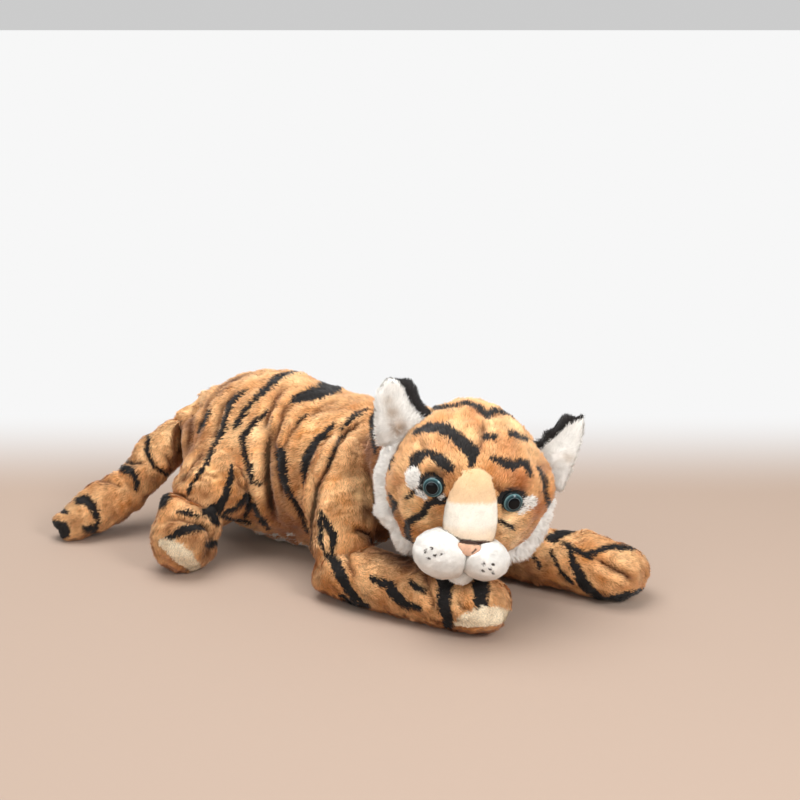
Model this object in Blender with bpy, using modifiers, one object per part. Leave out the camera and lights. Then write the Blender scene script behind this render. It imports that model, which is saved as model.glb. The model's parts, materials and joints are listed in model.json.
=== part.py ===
"""A plush tiger that lies on its belly and rests its chin on its bent right foreleg.

The origin is the middle of the flat patch on which the belly rests, +Z is up, +X is the side on
which the left forepaw is stretched out, and -Y is the side that the face looks to.
Each stuffed form is a loft of oval sections with a smooth skin. Limbs end in a ball that sits in a
round seat of the larger piece, so each sewn seam can bend about the ball's middle.
"""

import math

import bmesh
import bpy
from mathutils import Matrix, Vector
from mathutils.bvhtree import BVHTree

# Sizes of the whole, in metres.
body_length = 0.288
body_width = 0.152
body_height = 0.183
skin_thickness = 0.0045
seam_gap = 0.0004
fill_gap = 0.0007
press_depth = 0.0005
ball_clearance = 0.0008
neck_clearance = 0.0012
turn_clearance = 0.0022

# The belly panel reaches up the flanks to this height.
panel_height = 0.034

# Neck and head.
neck_ball_radius = 0.044
neck_reach = 0.160
head_reach = 0.089
head_width = 0.150
head_height = 0.160
head_depth = 0.142

# Face.
bridge_width = 0.046
bridge_height = 0.072
bridge_depth = 0.034
muzzle_width = 0.058
muzzle_height = 0.048
muzzle_depth = 0.042
chin_width = 0.026
chin_height = 0.022
muzzle_shift = 0.005
nose_width = 0.024
nose_height = 0.015
nose_depth = 0.007
ruff_width = 0.030
ruff_depth = 0.036
ruff_height = 0.128
ear_width = 0.055
ear_height = 0.055
ear_thickness = 0.006
lining_thickness = 0.005
eye_radius = 0.0100
eye_dome_height = 0.0060
eye_rim_height = 0.0016
shank_radius = 0.0022
shank_length = 0.0150
washer_radius = 0.0075
washer_thickness = 0.0014
washer_cone_height = 0.0030
eye_spacing = 0.0725

# Forelegs.
upper_foreleg_width = 0.074
upper_foreleg_depth = 0.062
foreleg_ball_radius = 0.0275
elbow_ball_radius = 0.0220
forearm_width = 0.063
forearm_height = 0.054
forepaw_width = 0.066
right_elbow_reach = 0.055
right_forearm_length = 0.152
left_elbow_reach = 0.112
left_forearm_length = 0.135
forepaw_overhang = 0.034

# Hind legs.
thigh_width = 0.092
thigh_depth = 0.080
hip_ball_radius = 0.036
hind_foot_reach = 0.080
hind_foot_width = 0.068
hind_foot_height = 0.076
hind_toe_overhang = 0.026

# Tail.
tail_ball_radius = 0.0225
tail_root_width = 0.053
tail_end_width = 0.045
tail_tip_width = 0.032
tail_reach = 0.158
tail_bend_ball_radius = 0.0185

# Angles.
body_turn = math.radians(-29.0)
neck_turn = math.radians(-9.5)
head_bearing = math.radians(-57.5)
head_roll = math.radians(11.4)
ear_lean = math.radians(24.0)
right_upper_bearing = math.radians(-96.0)
right_forearm_bearing = math.radians(-30.0)
left_upper_bearing = math.radians(-41.0)
left_forearm_bearing = math.radians(-30.0)
hind_spread = math.radians(89.0)
tail_bearing = math.radians(204.0)
fore_cap_turn = math.radians(58.0)
fore_cap_slope = math.radians(50.0)
hind_cap_turn = math.radians(6.0)
hind_cap_slope = math.radians(36.0)
sweep_step = math.radians(20.0)

# Joint ranges, each about the axis through its ball.
head_turn_range = (math.radians(0.0), math.radians(18.0))
head_lift_range = (math.radians(0.0), math.radians(20.0))
right_shoulder_range = (math.radians(-20.0), math.radians(0.0))
left_shoulder_range = (math.radians(0.0), math.radians(25.0))
right_elbow_range = (math.radians(-25.0), math.radians(0.0))
left_elbow_range = (math.radians(-15.0), math.radians(20.0))
hip_range = (math.radians(-15.0), math.radians(20.0))
tail_root_range = (math.radians(-20.0), math.radians(20.0))
tail_bend_range = (math.radians(-25.0), math.radians(25.0))

# Smoothness.
around_count = 8
fine_levels = 2
plain_levels = 1
turned_steps = 16

ORANGE = (0.62, 0.27, 0.07, 1.0)
WHITE = (0.86, 0.82, 0.76, 1.0)
CREAM = (0.72, 0.50, 0.29, 1.0)
PEACH = (0.75, 0.36, 0.22, 1.0)
FILL = (0.88, 0.88, 0.86, 1.0)
TEAL = (0.05, 0.20, 0.20, 1.0)
CLEAR_WHITE = (0.80, 0.80, 0.78, 1.0)

UP = Vector((0.0, 0.0, 1.0))
DOWN = -UP
ALONG = Vector((math.cos(body_turn), math.sin(body_turn), 0.0))
LEFT = Vector((-math.sin(body_turn), math.cos(body_turn), 0.0))
EACH_SIDE = (("right", -1.0), ("left", 1.0))

for old in list(bpy.data.objects):
    bpy.data.objects.remove(old, do_unlink=True)

PARTS = bpy.data.collections.new("plush_tiger")
CUTTERS = bpy.data.collections.new("cutters")
bpy.context.scene.collection.children.link(PARTS)
bpy.context.scene.collection.children.link(CUTTERS)


def bearing(angle):
    """The level direction at this angle from +X."""
    return Vector((math.cos(angle), math.sin(angle), 0.0))


def on_body(along_share, left_share, height_share):
    """A point in the torso's own measure: shares of its length, width and height."""
    return (
        ALONG * body_length * along_share
        + LEFT * body_width * left_share
        + UP * body_height * height_share
    )


def material(name, colour, roughness):
    made = bpy.data.materials.get(name)
    if made is None:
        made = bpy.data.materials.new(name)
        made.use_nodes = True
        shader = made.node_tree.nodes["Principled BSDF"]
        shader.inputs["Base Color"].default_value = colour
        shader.inputs["Roughness"].default_value = roughness
        shader.inputs["Metallic"].default_value = 0.0
        made.diffuse_color = colour
    return made


ORANGE_PLUSH = material("orange_plush", ORANGE, 0.95)
WHITE_PLUSH = material("white_plush", WHITE, 0.95)
CREAM_PLUSH = material("cream_plush", CREAM, 0.95)
NOSE_THREAD = material("nose_thread", PEACH, 0.7)
FIBRE_FILL = material("fibre_fill", FILL, 1.0)
EYE_PLASTIC = material("eye_plastic", TEAL, 0.08)
WASHER_PLASTIC = material("washer_plastic", CLEAR_WHITE, 0.4)


def placed(name, mesh, matrix, look=None):
    """Puts a mesh in the scene: with a look it is a piece, without one it is a cutter."""
    thing = bpy.data.objects.new(name, mesh)
    thing.matrix_world = matrix
    if look is None:
        CUTTERS.objects.link(thing)
        thing.hide_render = True
        thing.display_type = "WIRE"
        return thing
    PARTS.objects.link(thing)
    mesh.materials.clear()
    mesh.materials.append(look)
    mesh.shade_smooth()
    return thing


def smoothed(thing, levels):
    skin = thing.modifiers.new("smooth", "SUBSURF")
    skin.levels = levels
    skin.render_levels = levels
    return thing


def cage(stations, upright):
    """A cage of oval sections, each square to the line through the stations' middles.

    A station is (middle, half width, half height). The cage is wider than the form by the share
    that smoothing takes off, so the form has the widths that its stations name.
    """
    wider = 3.0 / (2.0 + math.cos(2.0 * math.pi / around_count))
    built = bmesh.new()
    rings = []
    for index, (middle, half_width, half_height) in enumerate(stations):
        before = stations[max(index - 1, 0)][0]
        after = stations[min(index + 1, len(stations) - 1)][0]
        line = (after - before).normalized()
        side = line.cross(upright).normalized()
        top = side.cross(line)
        ring = []
        for corner in range(around_count):
            angle = 2.0 * math.pi * (corner + 0.5) / around_count
            across = side * math.cos(angle) * half_width * wider
            rise = top * math.sin(angle) * half_height * wider
            ring.append(built.verts.new(middle + across + rise))
        rings.append(ring)
    for near, far in zip(rings, rings[1:]):
        for corner in range(around_count):
            beyond = (corner + 1) % around_count
            built.faces.new((near[corner], near[beyond], far[beyond], far[corner]))
    built.faces.new(list(reversed(rings[0])))
    built.faces.new(rings[-1])
    bmesh.ops.recalc_face_normals(built, faces=built.faces)
    mesh = bpy.data.meshes.new("cage")
    built.to_mesh(mesh)
    built.free()
    return mesh


def form(name, stations, levels, look=None, upright=UP, matrix=Matrix()):
    """A stuffed form: a cage of sections under a smooth skin."""
    return smoothed(placed(name, cage(stations, upright), matrix, look), levels)


def inset(stations, depth):
    """The same stations for a form that lies this deep inside."""
    inner = []
    last = len(stations) - 1
    for index, (middle, half_width, half_height) in enumerate(stations):
        if index == 0:
            middle = middle + (stations[1][0] - middle).normalized() * depth
        if index == last:
            middle = middle + (stations[-2][0] - middle).normalized() * depth
        inner.append((middle, half_width - depth, half_height - depth))
    return inner


def evaluated_mesh(thing):
    bpy.context.view_layer.update()
    graph = bpy.context.evaluated_depsgraph_get()
    return bpy.data.meshes.new_from_object(thing.evaluated_get(graph))


def grown(name, thing, by):
    """A cutter with the shape of a form, moved out along its own normals."""
    mesh = evaluated_mesh(thing)
    swollen = bmesh.new()
    swollen.from_mesh(mesh)
    swollen.normal_update()
    for point in swollen.verts:
        point.co += point.normal * by
    swollen.to_mesh(mesh)
    swollen.free()
    return placed(name, mesh, thing.matrix_world.copy())


def settled(stations, levels):
    """Lifts or lowers a form's stations until it presses on the floor by the press depth."""
    trial = form("trial", stations, levels)
    lowest = min((trial.matrix_world @ point.co).z for point in evaluated_mesh(trial).vertices)
    bpy.data.objects.remove(trial, do_unlink=True)
    lift = UP * (-press_depth - lowest)
    return [(middle + lift, width, height) for middle, width, height in stations], lift


def about(pivot, axis, angle):
    """The turn by an angle about an axis through a pivot."""
    there = Matrix.Translation(pivot)
    return there @ Matrix.Rotation(angle, 4, axis) @ there.inverted()


def turned_copies(cutter, pivot, axis, limits):
    """Copies of a cutter at each step of a joint's range, as the moving piece sees them."""
    low, high = limits
    steps = max(1, math.ceil((high - low) / sweep_step))
    copies = []
    for step in range(steps + 1):
        angle = low + (high - low) * step / steps
        copy = placed(f"{cutter.name}_turned", cutter.data, Matrix())
        copy.matrix_world = about(pivot, axis, -angle) @ cutter.matrix_world
        copies.append(copy)
    return copies


def combine(thing, other, operation, solver="EXACT"):
    """Cuts, keeps or joins with another form.

    Copies of one form at the steps of a joint's range lie so close together that the exact solver
    loses faces between them, so a piece that they cut is worked with the manifold one.
    """
    swept = any(m.type == "BOOLEAN" and m.solver == "MANIFOLD" for m in thing.modifiers)
    change = thing.modifiers.new(operation.lower(), "BOOLEAN")
    change.operation = operation
    change.solver = "MANIFOLD" if swept or "turned" in other.name else solver
    change.object = other
    return thing


def cut(thing, *others, solver="EXACT"):
    """Cuts a piece by others, one after the other."""
    for other in others:
        combine(thing, other, "DIFFERENCE", solver)
    return thing


def ball(name, middle, radius, axis=UP, segments=16, rings=8):
    """A ball with its poles on the axis that it turns about."""
    built = bmesh.new()
    bmesh.ops.create_uvsphere(built, u_segments=segments, v_segments=rings, radius=radius)
    mesh = bpy.data.meshes.new(name)
    built.to_mesh(mesh)
    built.free()
    upright = axis.to_track_quat("Z", "Y").to_matrix().to_4x4()
    return placed(name, mesh, Matrix.Translation(middle) @ upright)


def block(name, size, matrix):
    """A box cutter, from its own middle."""
    built = bmesh.new()
    bmesh.ops.create_cube(built, size=1.0)
    bmesh.ops.scale(built, vec=size, verts=built.verts)
    mesh = bpy.data.meshes.new(name)
    built.to_mesh(mesh)
    built.free()
    return placed(name, mesh, matrix)


def turned(name, outline, matrix, look=None):
    """A turned shape: an outline of (radius, height) that runs down its outer side."""
    built = bmesh.new()
    points = [built.verts.new((radius, 0.0, height)) for radius, height in outline]
    for here, there in zip(points, points[1:]):
        built.edges.new((here, there))
    if outline[0][0] > 0.0:
        built.edges.new((points[-1], points[0]))
    mesh = bpy.data.meshes.new(name)
    built.to_mesh(mesh)
    built.free()
    thing = placed(name, mesh, matrix, look)
    screw = thing.modifiers.new("turn", "SCREW")
    screw.axis = "Z"
    screw.angle = 2.0 * math.pi
    screw.steps = turned_steps
    screw.render_steps = turned_steps
    screw.use_merge_vertices = True
    screw.merge_threshold = 0.00001
    return thing


# The floor: everything below its level is pressed flat.
floor_size = body_length * 4.0
FLOOR = block(
    "floor_cutter",
    (floor_size, floor_size, body_height),
    Matrix.Translation(DOWN * body_height / 2.0),
)

# Torso. Its stations run from the rump to the chest, each with the share of the body's length along
# the back, the share of its width to the left, half the width, and the bottom and top heights.
torso_shares = (
    (-0.455, 0.00, 0.17, 0.42, 0.71),
    (-0.380, 0.00, 0.38, 0.23, 0.91),
    (-0.210, 0.00, 0.51, 0.07, 1.02),
    (0.020, 0.00, 0.48, 0.00, 0.99),
    (0.235, -0.02, 0.45, 0.04, 0.94),
    (0.400, -0.06, 0.39, 0.16, 0.91),
    (0.510, -0.10, 0.20, 0.34, 0.77),
)


def torso_stations():
    found = []
    for along, left, half_width, bottom, top in torso_shares:
        middle = on_body(along, left, (bottom + top) / 2.0)
        found.append((middle, body_width * half_width, body_height * (top - bottom) / 2.0))
    return found


TORSO_STATIONS, _ = settled(torso_stations(), fine_levels)
torso_fill = form("torso_fill", inset(TORSO_STATIONS, skin_thickness), plain_levels)
torso_fill_grown = grown("torso_fill_grown", torso_fill, fill_gap)

panel_zone = block(
    "panel_zone",
    (floor_size, floor_size, panel_height),
    Matrix.Translation(UP * panel_height / 2.0),
)
skin_zone_cutter = block(
    "skin_zone_cutter",
    (floor_size, floor_size, panel_height + body_height),
    Matrix.Translation(UP * (panel_height + seam_gap - (panel_height + body_height) / 2.0)),
)

torso_around = form("torso_around", TORSO_STATIONS, plain_levels)
TORSO_AROUND = grown("torso_around_grown", torso_around, turn_clearance)
body_skin = form("body_skin", TORSO_STATIONS, fine_levels, ORANGE_PLUSH)
belly_panel = form("belly_panel", TORSO_STATIONS, fine_levels, WHITE_PLUSH)
combine(belly_panel, panel_zone, "INTERSECT")
body_stuffing = form("body_stuffing", inset(TORSO_STATIONS, skin_thickness), plain_levels, FIBRE_FILL)
# The seats of neck, legs and tail, which open the skin bag and let the fill through.
torso_seats = []

# Neck: a stuffed ball between chest and head, round which the head turns and lifts. It stands as far
# above the forearm as the head is tall below it, so the chin rests on the forearm.
# The seat's poles lie on the axis that the head lifts about, and the ball's on the one it turns about.
neck_rise_share = 0.447
LIFT_AXIS = Vector((-1.0, 0.0, 0.0))
NECK = bearing(body_turn + neck_turn) * neck_reach + UP * (forearm_height + head_height * neck_rise_share)
neck_ball = ball("neck_ball", NECK, neck_ball_radius, UP, 20, 10)
neck_seat = ball("neck_seat", NECK, neck_ball_radius + neck_clearance, LIFT_AXIS, 20, 10)
neck = placed("neck", evaluated_mesh(neck_ball), Matrix.Translation(NECK), ORANGE_PLUSH)
torso_seats.append(neck_seat)

# Head, in its own frame: X to the picture's right, -Y forwards, Z up, rolled to the picture's right.
HEAD = NECK + bearing(head_bearing) * head_reach
HEAD_FRAME = Matrix.Translation(HEAD) @ Matrix.Rotation(head_roll, 4, "Y")
FORWARD = Vector((0.0, -1.0, 0.0))
head_shares = (
    (0.50, 0.16, 0.15, 0.02),
    (0.40, 0.36, 0.35, 0.02),
    (0.12, 0.49, 0.49, 0.01),
    (-0.18, 0.49, 0.47, -0.01),
    (-0.38, 0.37, 0.37, -0.05),
    (-0.46, 0.19, 0.20, -0.08),
)


def head_stations():
    found = []
    for back, half_width, half_height, rise in head_shares:
        middle = Vector((0.0, head_depth * back, head_height * rise))
        found.append((middle, head_width * half_width, head_height * half_height))
    return found


HEAD_FORM = form("head_form", head_stations(), fine_levels, matrix=HEAD_FRAME)
HEAD_GROWN = grown("head_grown", HEAD_FORM, seam_gap)
FACE = BVHTree.FromObject(HEAD_FORM, bpy.context.evaluated_depsgraph_get())


def on_face(right, rise):
    """The point of the face in front of this place, and the way the face looks there."""
    seat, normal, _, _ = FACE.ray_cast(Vector((right, -head_depth, rise)), -FORWARD)
    return seat, normal


head_fill = form("head_fill", inset(head_stations(), skin_thickness), plain_levels, matrix=HEAD_FRAME)
head_fill_grown = grown("head_fill_grown", head_fill, fill_gap)
head_skin = form("head_skin", head_stations(), fine_levels, ORANGE_PLUSH, matrix=HEAD_FRAME)
head_stuffing = form(
    "head_stuffing", inset(head_stations(), skin_thickness), plain_levels, FIBRE_FILL, matrix=HEAD_FRAME
)

torso_as_head_sees = []
for cutter in turned_copies(TORSO_AROUND, NECK, UP, head_turn_range):
    torso_as_head_sees.extend(turned_copies(cutter, NECK, LIFT_AXIS, head_lift_range))


# Below this level lie the forelegs. No piece of the head reaches under it, so the head can turn and
# lift over them, and the chin rests on the right forearm.
FORELEG_ZONE = block(
    "foreleg_zone",
    (floor_size, floor_size, body_height),
    Matrix.Translation(UP * (forearm_height + seam_gap - body_height / 2.0)),
)


# What a piece of the head must clear all through the head's joints.
BODY_ROOM = (neck_seat, FORELEG_ZONE, *torso_as_head_sees)


def on_head(right_share, back_share, up_share):
    """A point in the head's frame, in shares of its width, depth and height."""
    return Vector((head_width * right_share, head_depth * back_share, head_height * up_share))


def egg(name, middle, sizes, look=None, matrix=HEAD_FRAME):
    """A full round form with these widths along X, Y and Z."""
    built = bmesh.new()
    bmesh.ops.create_uvsphere(built, u_segments=14, v_segments=8, radius=0.5)
    bmesh.ops.scale(built, vec=sizes, verts=built.verts)
    mesh = bpy.data.meshes.new(name)
    built.to_mesh(mesh)
    built.free()
    return placed(name, mesh, matrix @ Matrix.Translation(middle), look)


# Nose bridge: a short-pile panel from the brow to the nose. Each station has the share of the
# bridge's height above the head's middle, its share of the muzzle's sideways shift, how far it
# stands out of the face, and its half widths.
bridge_shares = (
    (0.59, -0.6, 0.08, 0.25, 0.14),
    (0.45, -0.4, 0.15, 0.41, 0.20),
    (0.15, 0.0, 0.27, 0.53, 0.30),
    (-0.15, 0.6, 0.52, 0.56, 0.44),
    (-0.37, 1.0, 0.80, 0.53, 0.42),
    (-0.45, 1.0, 0.66, 0.42, 0.30),
)
bridge_stations = []
for rise, sideways, proud, half_width, half_depth in bridge_shares:
    seat, _ = on_face(muzzle_shift * sideways, bridge_height * rise)
    middle = seat + FORWARD * bridge_depth * (proud - half_depth)
    bridge_stations.append((middle, bridge_width * half_width, bridge_depth * half_depth))
nose_bridge = form(
    "nose_bridge", bridge_stations, plain_levels, CREAM_PLUSH, upright=FORWARD, matrix=HEAD_FRAME
)
BRIDGE_GROWN = grown("bridge_grown", nose_bridge, seam_gap)

# Nose: a stitched triangle at the lower end of the bridge.
nose_drop_share = 0.25
nose_place = bridge_stations[-2][0] + FORWARD * bridge_stations[-2][2] + DOWN * nose_height * nose_drop_share
nose = egg("nose", nose_place, (nose_width, nose_depth, nose_height), NOSE_THREAD)
NOSE_GROWN = grown("nose_grown", nose, seam_gap)
cut(nose, BRIDGE_GROWN)

# Muzzle pads, which meet in a flat seam under the nose, and chin. The pad on the left is pressed
# smaller by the forearm under it. Each has its place in shares of the head's width and height, and
# its own share of the muzzle's sizes.
muzzle_pads = []
pad_shares = (("right", -1.0, 0.133, -0.275, 1.0), ("left", 1.0, 0.115, -0.262, 0.83))
pad_back_share = -0.53
for side_name, side, right_share, rise_share, size_share in pad_shares:
    middle = on_head(side * right_share, pad_back_share, rise_share) + Vector((muzzle_shift, 0.0, 0.0))
    sizes = (muzzle_width * size_share, muzzle_depth, muzzle_height * size_share)
    pad = egg(f"muzzle_pad_{side_name}", middle, sizes, WHITE_PLUSH)
    beyond = muzzle_shift - side * (head_width - seam_gap / 2.0)
    far_side = block(
        f"far_side_of_{side_name}_pad",
        (head_width * 2.0, head_width * 2.0, head_width * 2.0),
        HEAD_FRAME @ Matrix.Translation(Vector((beyond, 0.0, 0.0))),
    )
    cut(pad, far_side)
    muzzle_pads.append(pad)
pads_grown = [grown(f"{pad.name}_grown", pad, seam_gap) for pad in muzzle_pads]
for pad in muzzle_pads:
    cut(pad, HEAD_GROWN, BRIDGE_GROWN, NOSE_GROWN, FORELEG_ZONE)
chin_shares = (0.0, -0.46, -0.395)
chin_place = on_head(*chin_shares) + Vector((muzzle_shift, 0.0, 0.0))
chin = egg("chin", chin_place, (chin_width, chin_width, chin_height), WHITE_PLUSH)
CHIN_GROWN = grown("chin_grown", chin, seam_gap)
cut(chin, HEAD_GROWN, *pads_grown, FORELEG_ZONE)

# Cheek ruffs, each a crescent from the ear's root round to the jaw.
ruff_shares = (
    (0.405, 0.10, 0.30, 0.30),
    (0.470, 0.10, 0.10, 0.42),
    (0.492, 0.08, -0.14, 0.50),
    (0.450, 0.03, -0.36, 0.50),
    (0.345, -0.03, -0.50, 0.42),
    (0.210, -0.10, -0.54, 0.28),
)
ruffs = []
for side_name, side in EACH_SIDE:
    stations = []
    for right, back, rise, width in ruff_shares:
        middle = Vector((side * head_width * right, head_depth * back, ruff_height * rise))
        stations.append((middle, ruff_width * width, ruff_depth * width))
    ruff = form(
        f"cheek_ruff_{side_name}", stations, plain_levels, WHITE_PLUSH, upright=FORWARD, matrix=HEAD_FRAME
    )
    ruffs.append(ruff)
ruffs_grown = [grown(f"{ruff.name}_grown", ruff, seam_gap) for ruff in ruffs]
for ruff in ruffs:
    cut(ruff, HEAD_GROWN, *pads_grown, CHIN_GROWN, *BODY_ROOM)

# Ears: an outer shell and a lining before it, both sewn to the skull at the root.
ear_shares = ((-0.30, 0.42), (0.10, 0.52), (0.62, 0.38), (1.0, 0.10))
lining_share = 0.82
ear_root_shares = (0.445, 0.07, 0.268)
for (side_name, side), ruff_grown in zip(EACH_SIDE, ruffs_grown):
    shell_stations = []
    lining_stations = []
    right_share, back_share, rise_share = ear_root_shares
    ear_root = on_head(side * right_share, back_share, rise_share)
    ear_line = Vector((side * math.sin(ear_lean), 0.0, math.cos(ear_lean)))
    before = FORWARD * (ear_thickness + lining_thickness) / 2.0
    for rise, half_width in ear_shares:
        middle = ear_root + ear_line * ear_height * rise
        shell_stations.append((middle, ear_width * half_width, ear_thickness / 2.0))
        lining_width = ear_width * half_width * lining_share
        lining_stations.append((middle + before, lining_width, lining_thickness / 2.0))
    shell = form(
        f"ear_shell_{side_name}", shell_stations, plain_levels, ORANGE_PLUSH, FORWARD, HEAD_FRAME
    )
    shell_grown = grown(f"{shell.name}_grown", shell, seam_gap)
    cut(shell, HEAD_GROWN, ruff_grown, solver="MANIFOLD")
    lining = form(
        f"ear_lining_{side_name}", lining_stations, plain_levels, WHITE_PLUSH, FORWARD, HEAD_FRAME
    )
    cut(lining, HEAD_GROWN, ruff_grown, shell_grown, solver="MANIFOLD")

# Eyes: a glossy dome on a shank that passes through the face skin, held by a lock washer behind it.
eye_seats = []
pockets = []
wells = []
eye_rise_share = 0.09
eye_rise = head_height * eye_rise_share
dome_step_count = 5
for side_name, side in EACH_SIDE:
    seat, normal = on_face(side * eye_spacing / 2.0, eye_rise)
    look_way = (normal + FORWARD).normalized()
    eye_frame = HEAD_FRAME @ Matrix.Translation(seat) @ look_way.to_track_quat("Z", "Y").to_matrix().to_4x4()
    dome = []
    for step in range(dome_step_count + 1):
        angle = math.pi / 2.0 * (1.0 - step / dome_step_count)
        dome.append((eye_radius * math.cos(angle), eye_rim_height + eye_dome_height * math.sin(angle)))
    dome[0] = (0.0, dome[0][1])
    outline = dome + [
        (eye_radius, -eye_rim_height),
        (shank_radius, -eye_rim_height),
        (shank_radius, -shank_length),
        (0.0, -shank_length),
    ]
    eye = turned(f"eye_{side_name}", outline, eye_frame, EYE_PLASTIC)
    eye_seat = turned(
        f"eye_{side_name}_seat",
        [
            (0.0, eye_radius * 2.0),
            (eye_radius + seam_gap, eye_radius * 2.0),
            (eye_radius + seam_gap, -eye_rim_height - seam_gap),
            (shank_radius + seam_gap, -eye_rim_height - seam_gap),
            (shank_radius + seam_gap, -shank_length - seam_gap),
            (0.0, -shank_length - seam_gap),
        ],
        eye_frame,
    )
    washer_level = -skin_thickness * 2.0
    washer = turned(
        f"eye_washer_{side_name}",
        [
            (shank_radius + seam_gap, washer_level),
            (washer_radius, washer_level - washer_cone_height + washer_thickness),
            (washer_radius, washer_level - washer_cone_height),
            (shank_radius + seam_gap, washer_level - washer_thickness),
        ],
        eye_frame,
        WASHER_PLASTIC,
    )
    pocket = turned(
        f"washer_{side_name}_pocket",
        [
            (0.0, washer_level + seam_gap),
            (washer_radius + seam_gap, washer_level + seam_gap),
            (washer_radius + seam_gap, -shank_length - seam_gap),
            (0.0, -shank_length - seam_gap),
        ],
        eye_frame,
    )
    well = turned(
        f"washer_{side_name}_well",
        [
            (0.0, eye_radius),
            (washer_radius + seam_gap, eye_radius),
            (washer_radius + seam_gap, -shank_length - seam_gap),
            (0.0, -shank_length - seam_gap),
        ],
        eye_frame,
    )
    eye_seats.append(eye_seat)
    pockets.append(pocket)
    wells.append(well)
cut(head_skin, head_fill_grown, *eye_seats, *pockets, *BODY_ROOM)
cut(head_stuffing, *wells, *BODY_ROOM)
cut(nose_bridge, HEAD_GROWN, *eye_seats)


def limb(name, stations, look, root, radius, axis=UP):
    """A limb's form, the ball that seats it and the seat that the ball turns in."""
    piece = form(name, stations, plain_levels, look)
    root_ball = ball(f"{name}_ball", root, radius, axis)
    root_seat = ball(f"{name}_seat", root, radius + ball_clearance, axis)
    return piece, root_ball, root_seat


def oval(middle, width, height):
    return (middle, width / 2.0, height / 2.0)


def between(start, end, share):
    return start + (end - start) * share


head_as_legs_see = []
for source in (HEAD_GROWN, *ruffs_grown):
    for cutter in (source, *turned_copies(source, NECK, UP, tuple(-a for a in head_turn_range))[1:]):
        cutter.name = f"{cutter.name}_turned"
        head_as_legs_see.append(cutter)
        head_as_legs_see.extend(
            turned_copies(cutter, NECK, LIFT_AXIS, tuple(-a for a in head_lift_range))[1:]
        )


# A foreleg's stations. Those of the upper part have their share of the way from the shoulder to the
# elbow, or behind the shoulder of the ball's radius, and of the part's width and depth. Those of the
# forearm have their share of the way from elbow to paw or from paw to toe, and of width and height.
upper_end_shares = (0.90, 0.50)
upper_shares = ((0.0, 0.92), (0.35, 1.0), (0.70, 0.94))
elbow_shares = (0.97, 0.90)
forearm_end_shares = (0.90, 0.52, 0.58)
forearm_shares = ((0.0, 0.96), (0.55, 1.0))
toe_shares = ((0.0, 1.0, 1.0), (0.62, 0.86, 0.90), (1.0, 0.44, 0.48))
paw_middle_share = 0.30
fore_cap_depth_share = 0.24


def foreleg(
    side_name, root, upper_bearing, elbow_reach, forearm_bearing, forearm_length, cap_bearing, ranges
):
    """A foreleg: a ball in the chest, an upper part down to the elbow, and a forearm on the floor."""
    shoulder_range, elbow_range = ranges
    elbow = root + bearing(upper_bearing) * elbow_reach
    elbow.z = forearm_height / 2.0
    paw_line = bearing(forearm_bearing)
    paw = elbow + paw_line * forearm_length
    toe = paw + paw_line * forepaw_overhang
    behind, end_width, end_height = forearm_end_shares
    forearm_stations = [
        oval(
            elbow - paw_line * elbow_ball_radius * behind,
            forearm_width * end_width,
            forearm_height * end_height,
        )
    ]
    for place, width in forearm_shares:
        forearm_stations.append(oval(between(elbow, paw, place), forearm_width * width, forearm_height))
    for place, width, height in toe_shares:
        forearm_stations.append(
            oval(between(paw, toe, place), forepaw_width * width, forearm_height * height)
        )
    forearm_stations, lift = settled(forearm_stations, plain_levels)
    elbow = elbow + lift
    paw = paw + lift
    toe = toe + lift
    line = (elbow - root).normalized()
    behind, end_width = upper_end_shares
    upper_stations = [
        oval(
            root - line * foreleg_ball_radius * behind,
            upper_foreleg_width * end_width,
            upper_foreleg_depth * end_width,
        )
    ]
    for place, width in upper_shares:
        upper_stations.append(
            oval(between(root, elbow, place), upper_foreleg_width * width, upper_foreleg_depth * width)
        )
    place, width = elbow_shares
    upper_stations.append(oval(between(root, elbow, place), forearm_width * width, forearm_height * width))
    upper, upper_ball, upper_seat = limb(
        f"{side_name}_upper_foreleg", upper_stations, ORANGE_PLUSH, root, foreleg_ball_radius
    )
    upper_grown = grown(f"{upper.name}_grown", upper, ball_clearance)
    cut(upper, *turned_copies(TORSO_AROUND, root, UP, shoulder_range))
    combine(upper, upper_ball, "UNION")
    cut(upper, *turned_copies(neck_seat, root, UP, shoulder_range), *head_as_legs_see)
    torso_seats.append(upper_seat)

    forearm, forearm_ball, forearm_seat = limb(
        f"{side_name}_forearm", forearm_stations, ORANGE_PLUSH, elbow, elbow_ball_radius
    )
    cut(forearm, *turned_copies(upper_grown, elbow, UP, elbow_range))
    combine(forearm, forearm_ball, "UNION")
    cut(upper, forearm_seat, FLOOR)
    cap_frame = cap_seam(
        between(paw, toe, paw_middle_share), bearing(cap_bearing), fore_cap_slope,
        forepaw_width * fore_cap_depth_share,
    )
    return forearm, forearm_stations, cap_frame, forepaw_width * 3.0


def cap_seam(middle, way, slope, depth):
    """The frame of a toe cap's seam: X looks out of the paw, down by the slope, from the seam's level."""
    turned_way = Matrix.Translation(middle) @ way.to_track_quat("X", "Z").to_matrix().to_4x4()
    return turned_way @ Matrix.Rotation(slope, 4, "Y") @ Matrix.Translation(Vector((depth, 0.0, 0.0)))


def toe_cap(name, paw_piece, stations, cap_frame, cap_size):
    """The tan cap of a paw: what the paw's form has beyond a sloping seam."""
    sizes = (cap_size, cap_size, cap_size)
    zone = block(f"{name}_zone", sizes, cap_frame @ Matrix.Translation(Vector((cap_size / 2.0, 0.0, 0.0))))
    shifted = Matrix.Translation(Vector((cap_size / 2.0 - seam_gap, 0.0, 0.0)))
    room = block(f"{name}_room", sizes, cap_frame @ shifted)
    cap = form(name, stations, plain_levels, CREAM_PLUSH)
    combine(cap, zone, "INTERSECT", "MANIFOLD")
    cut(cap, FLOOR)
    cut(paw_piece, room, FLOOR)
    return cap


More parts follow.
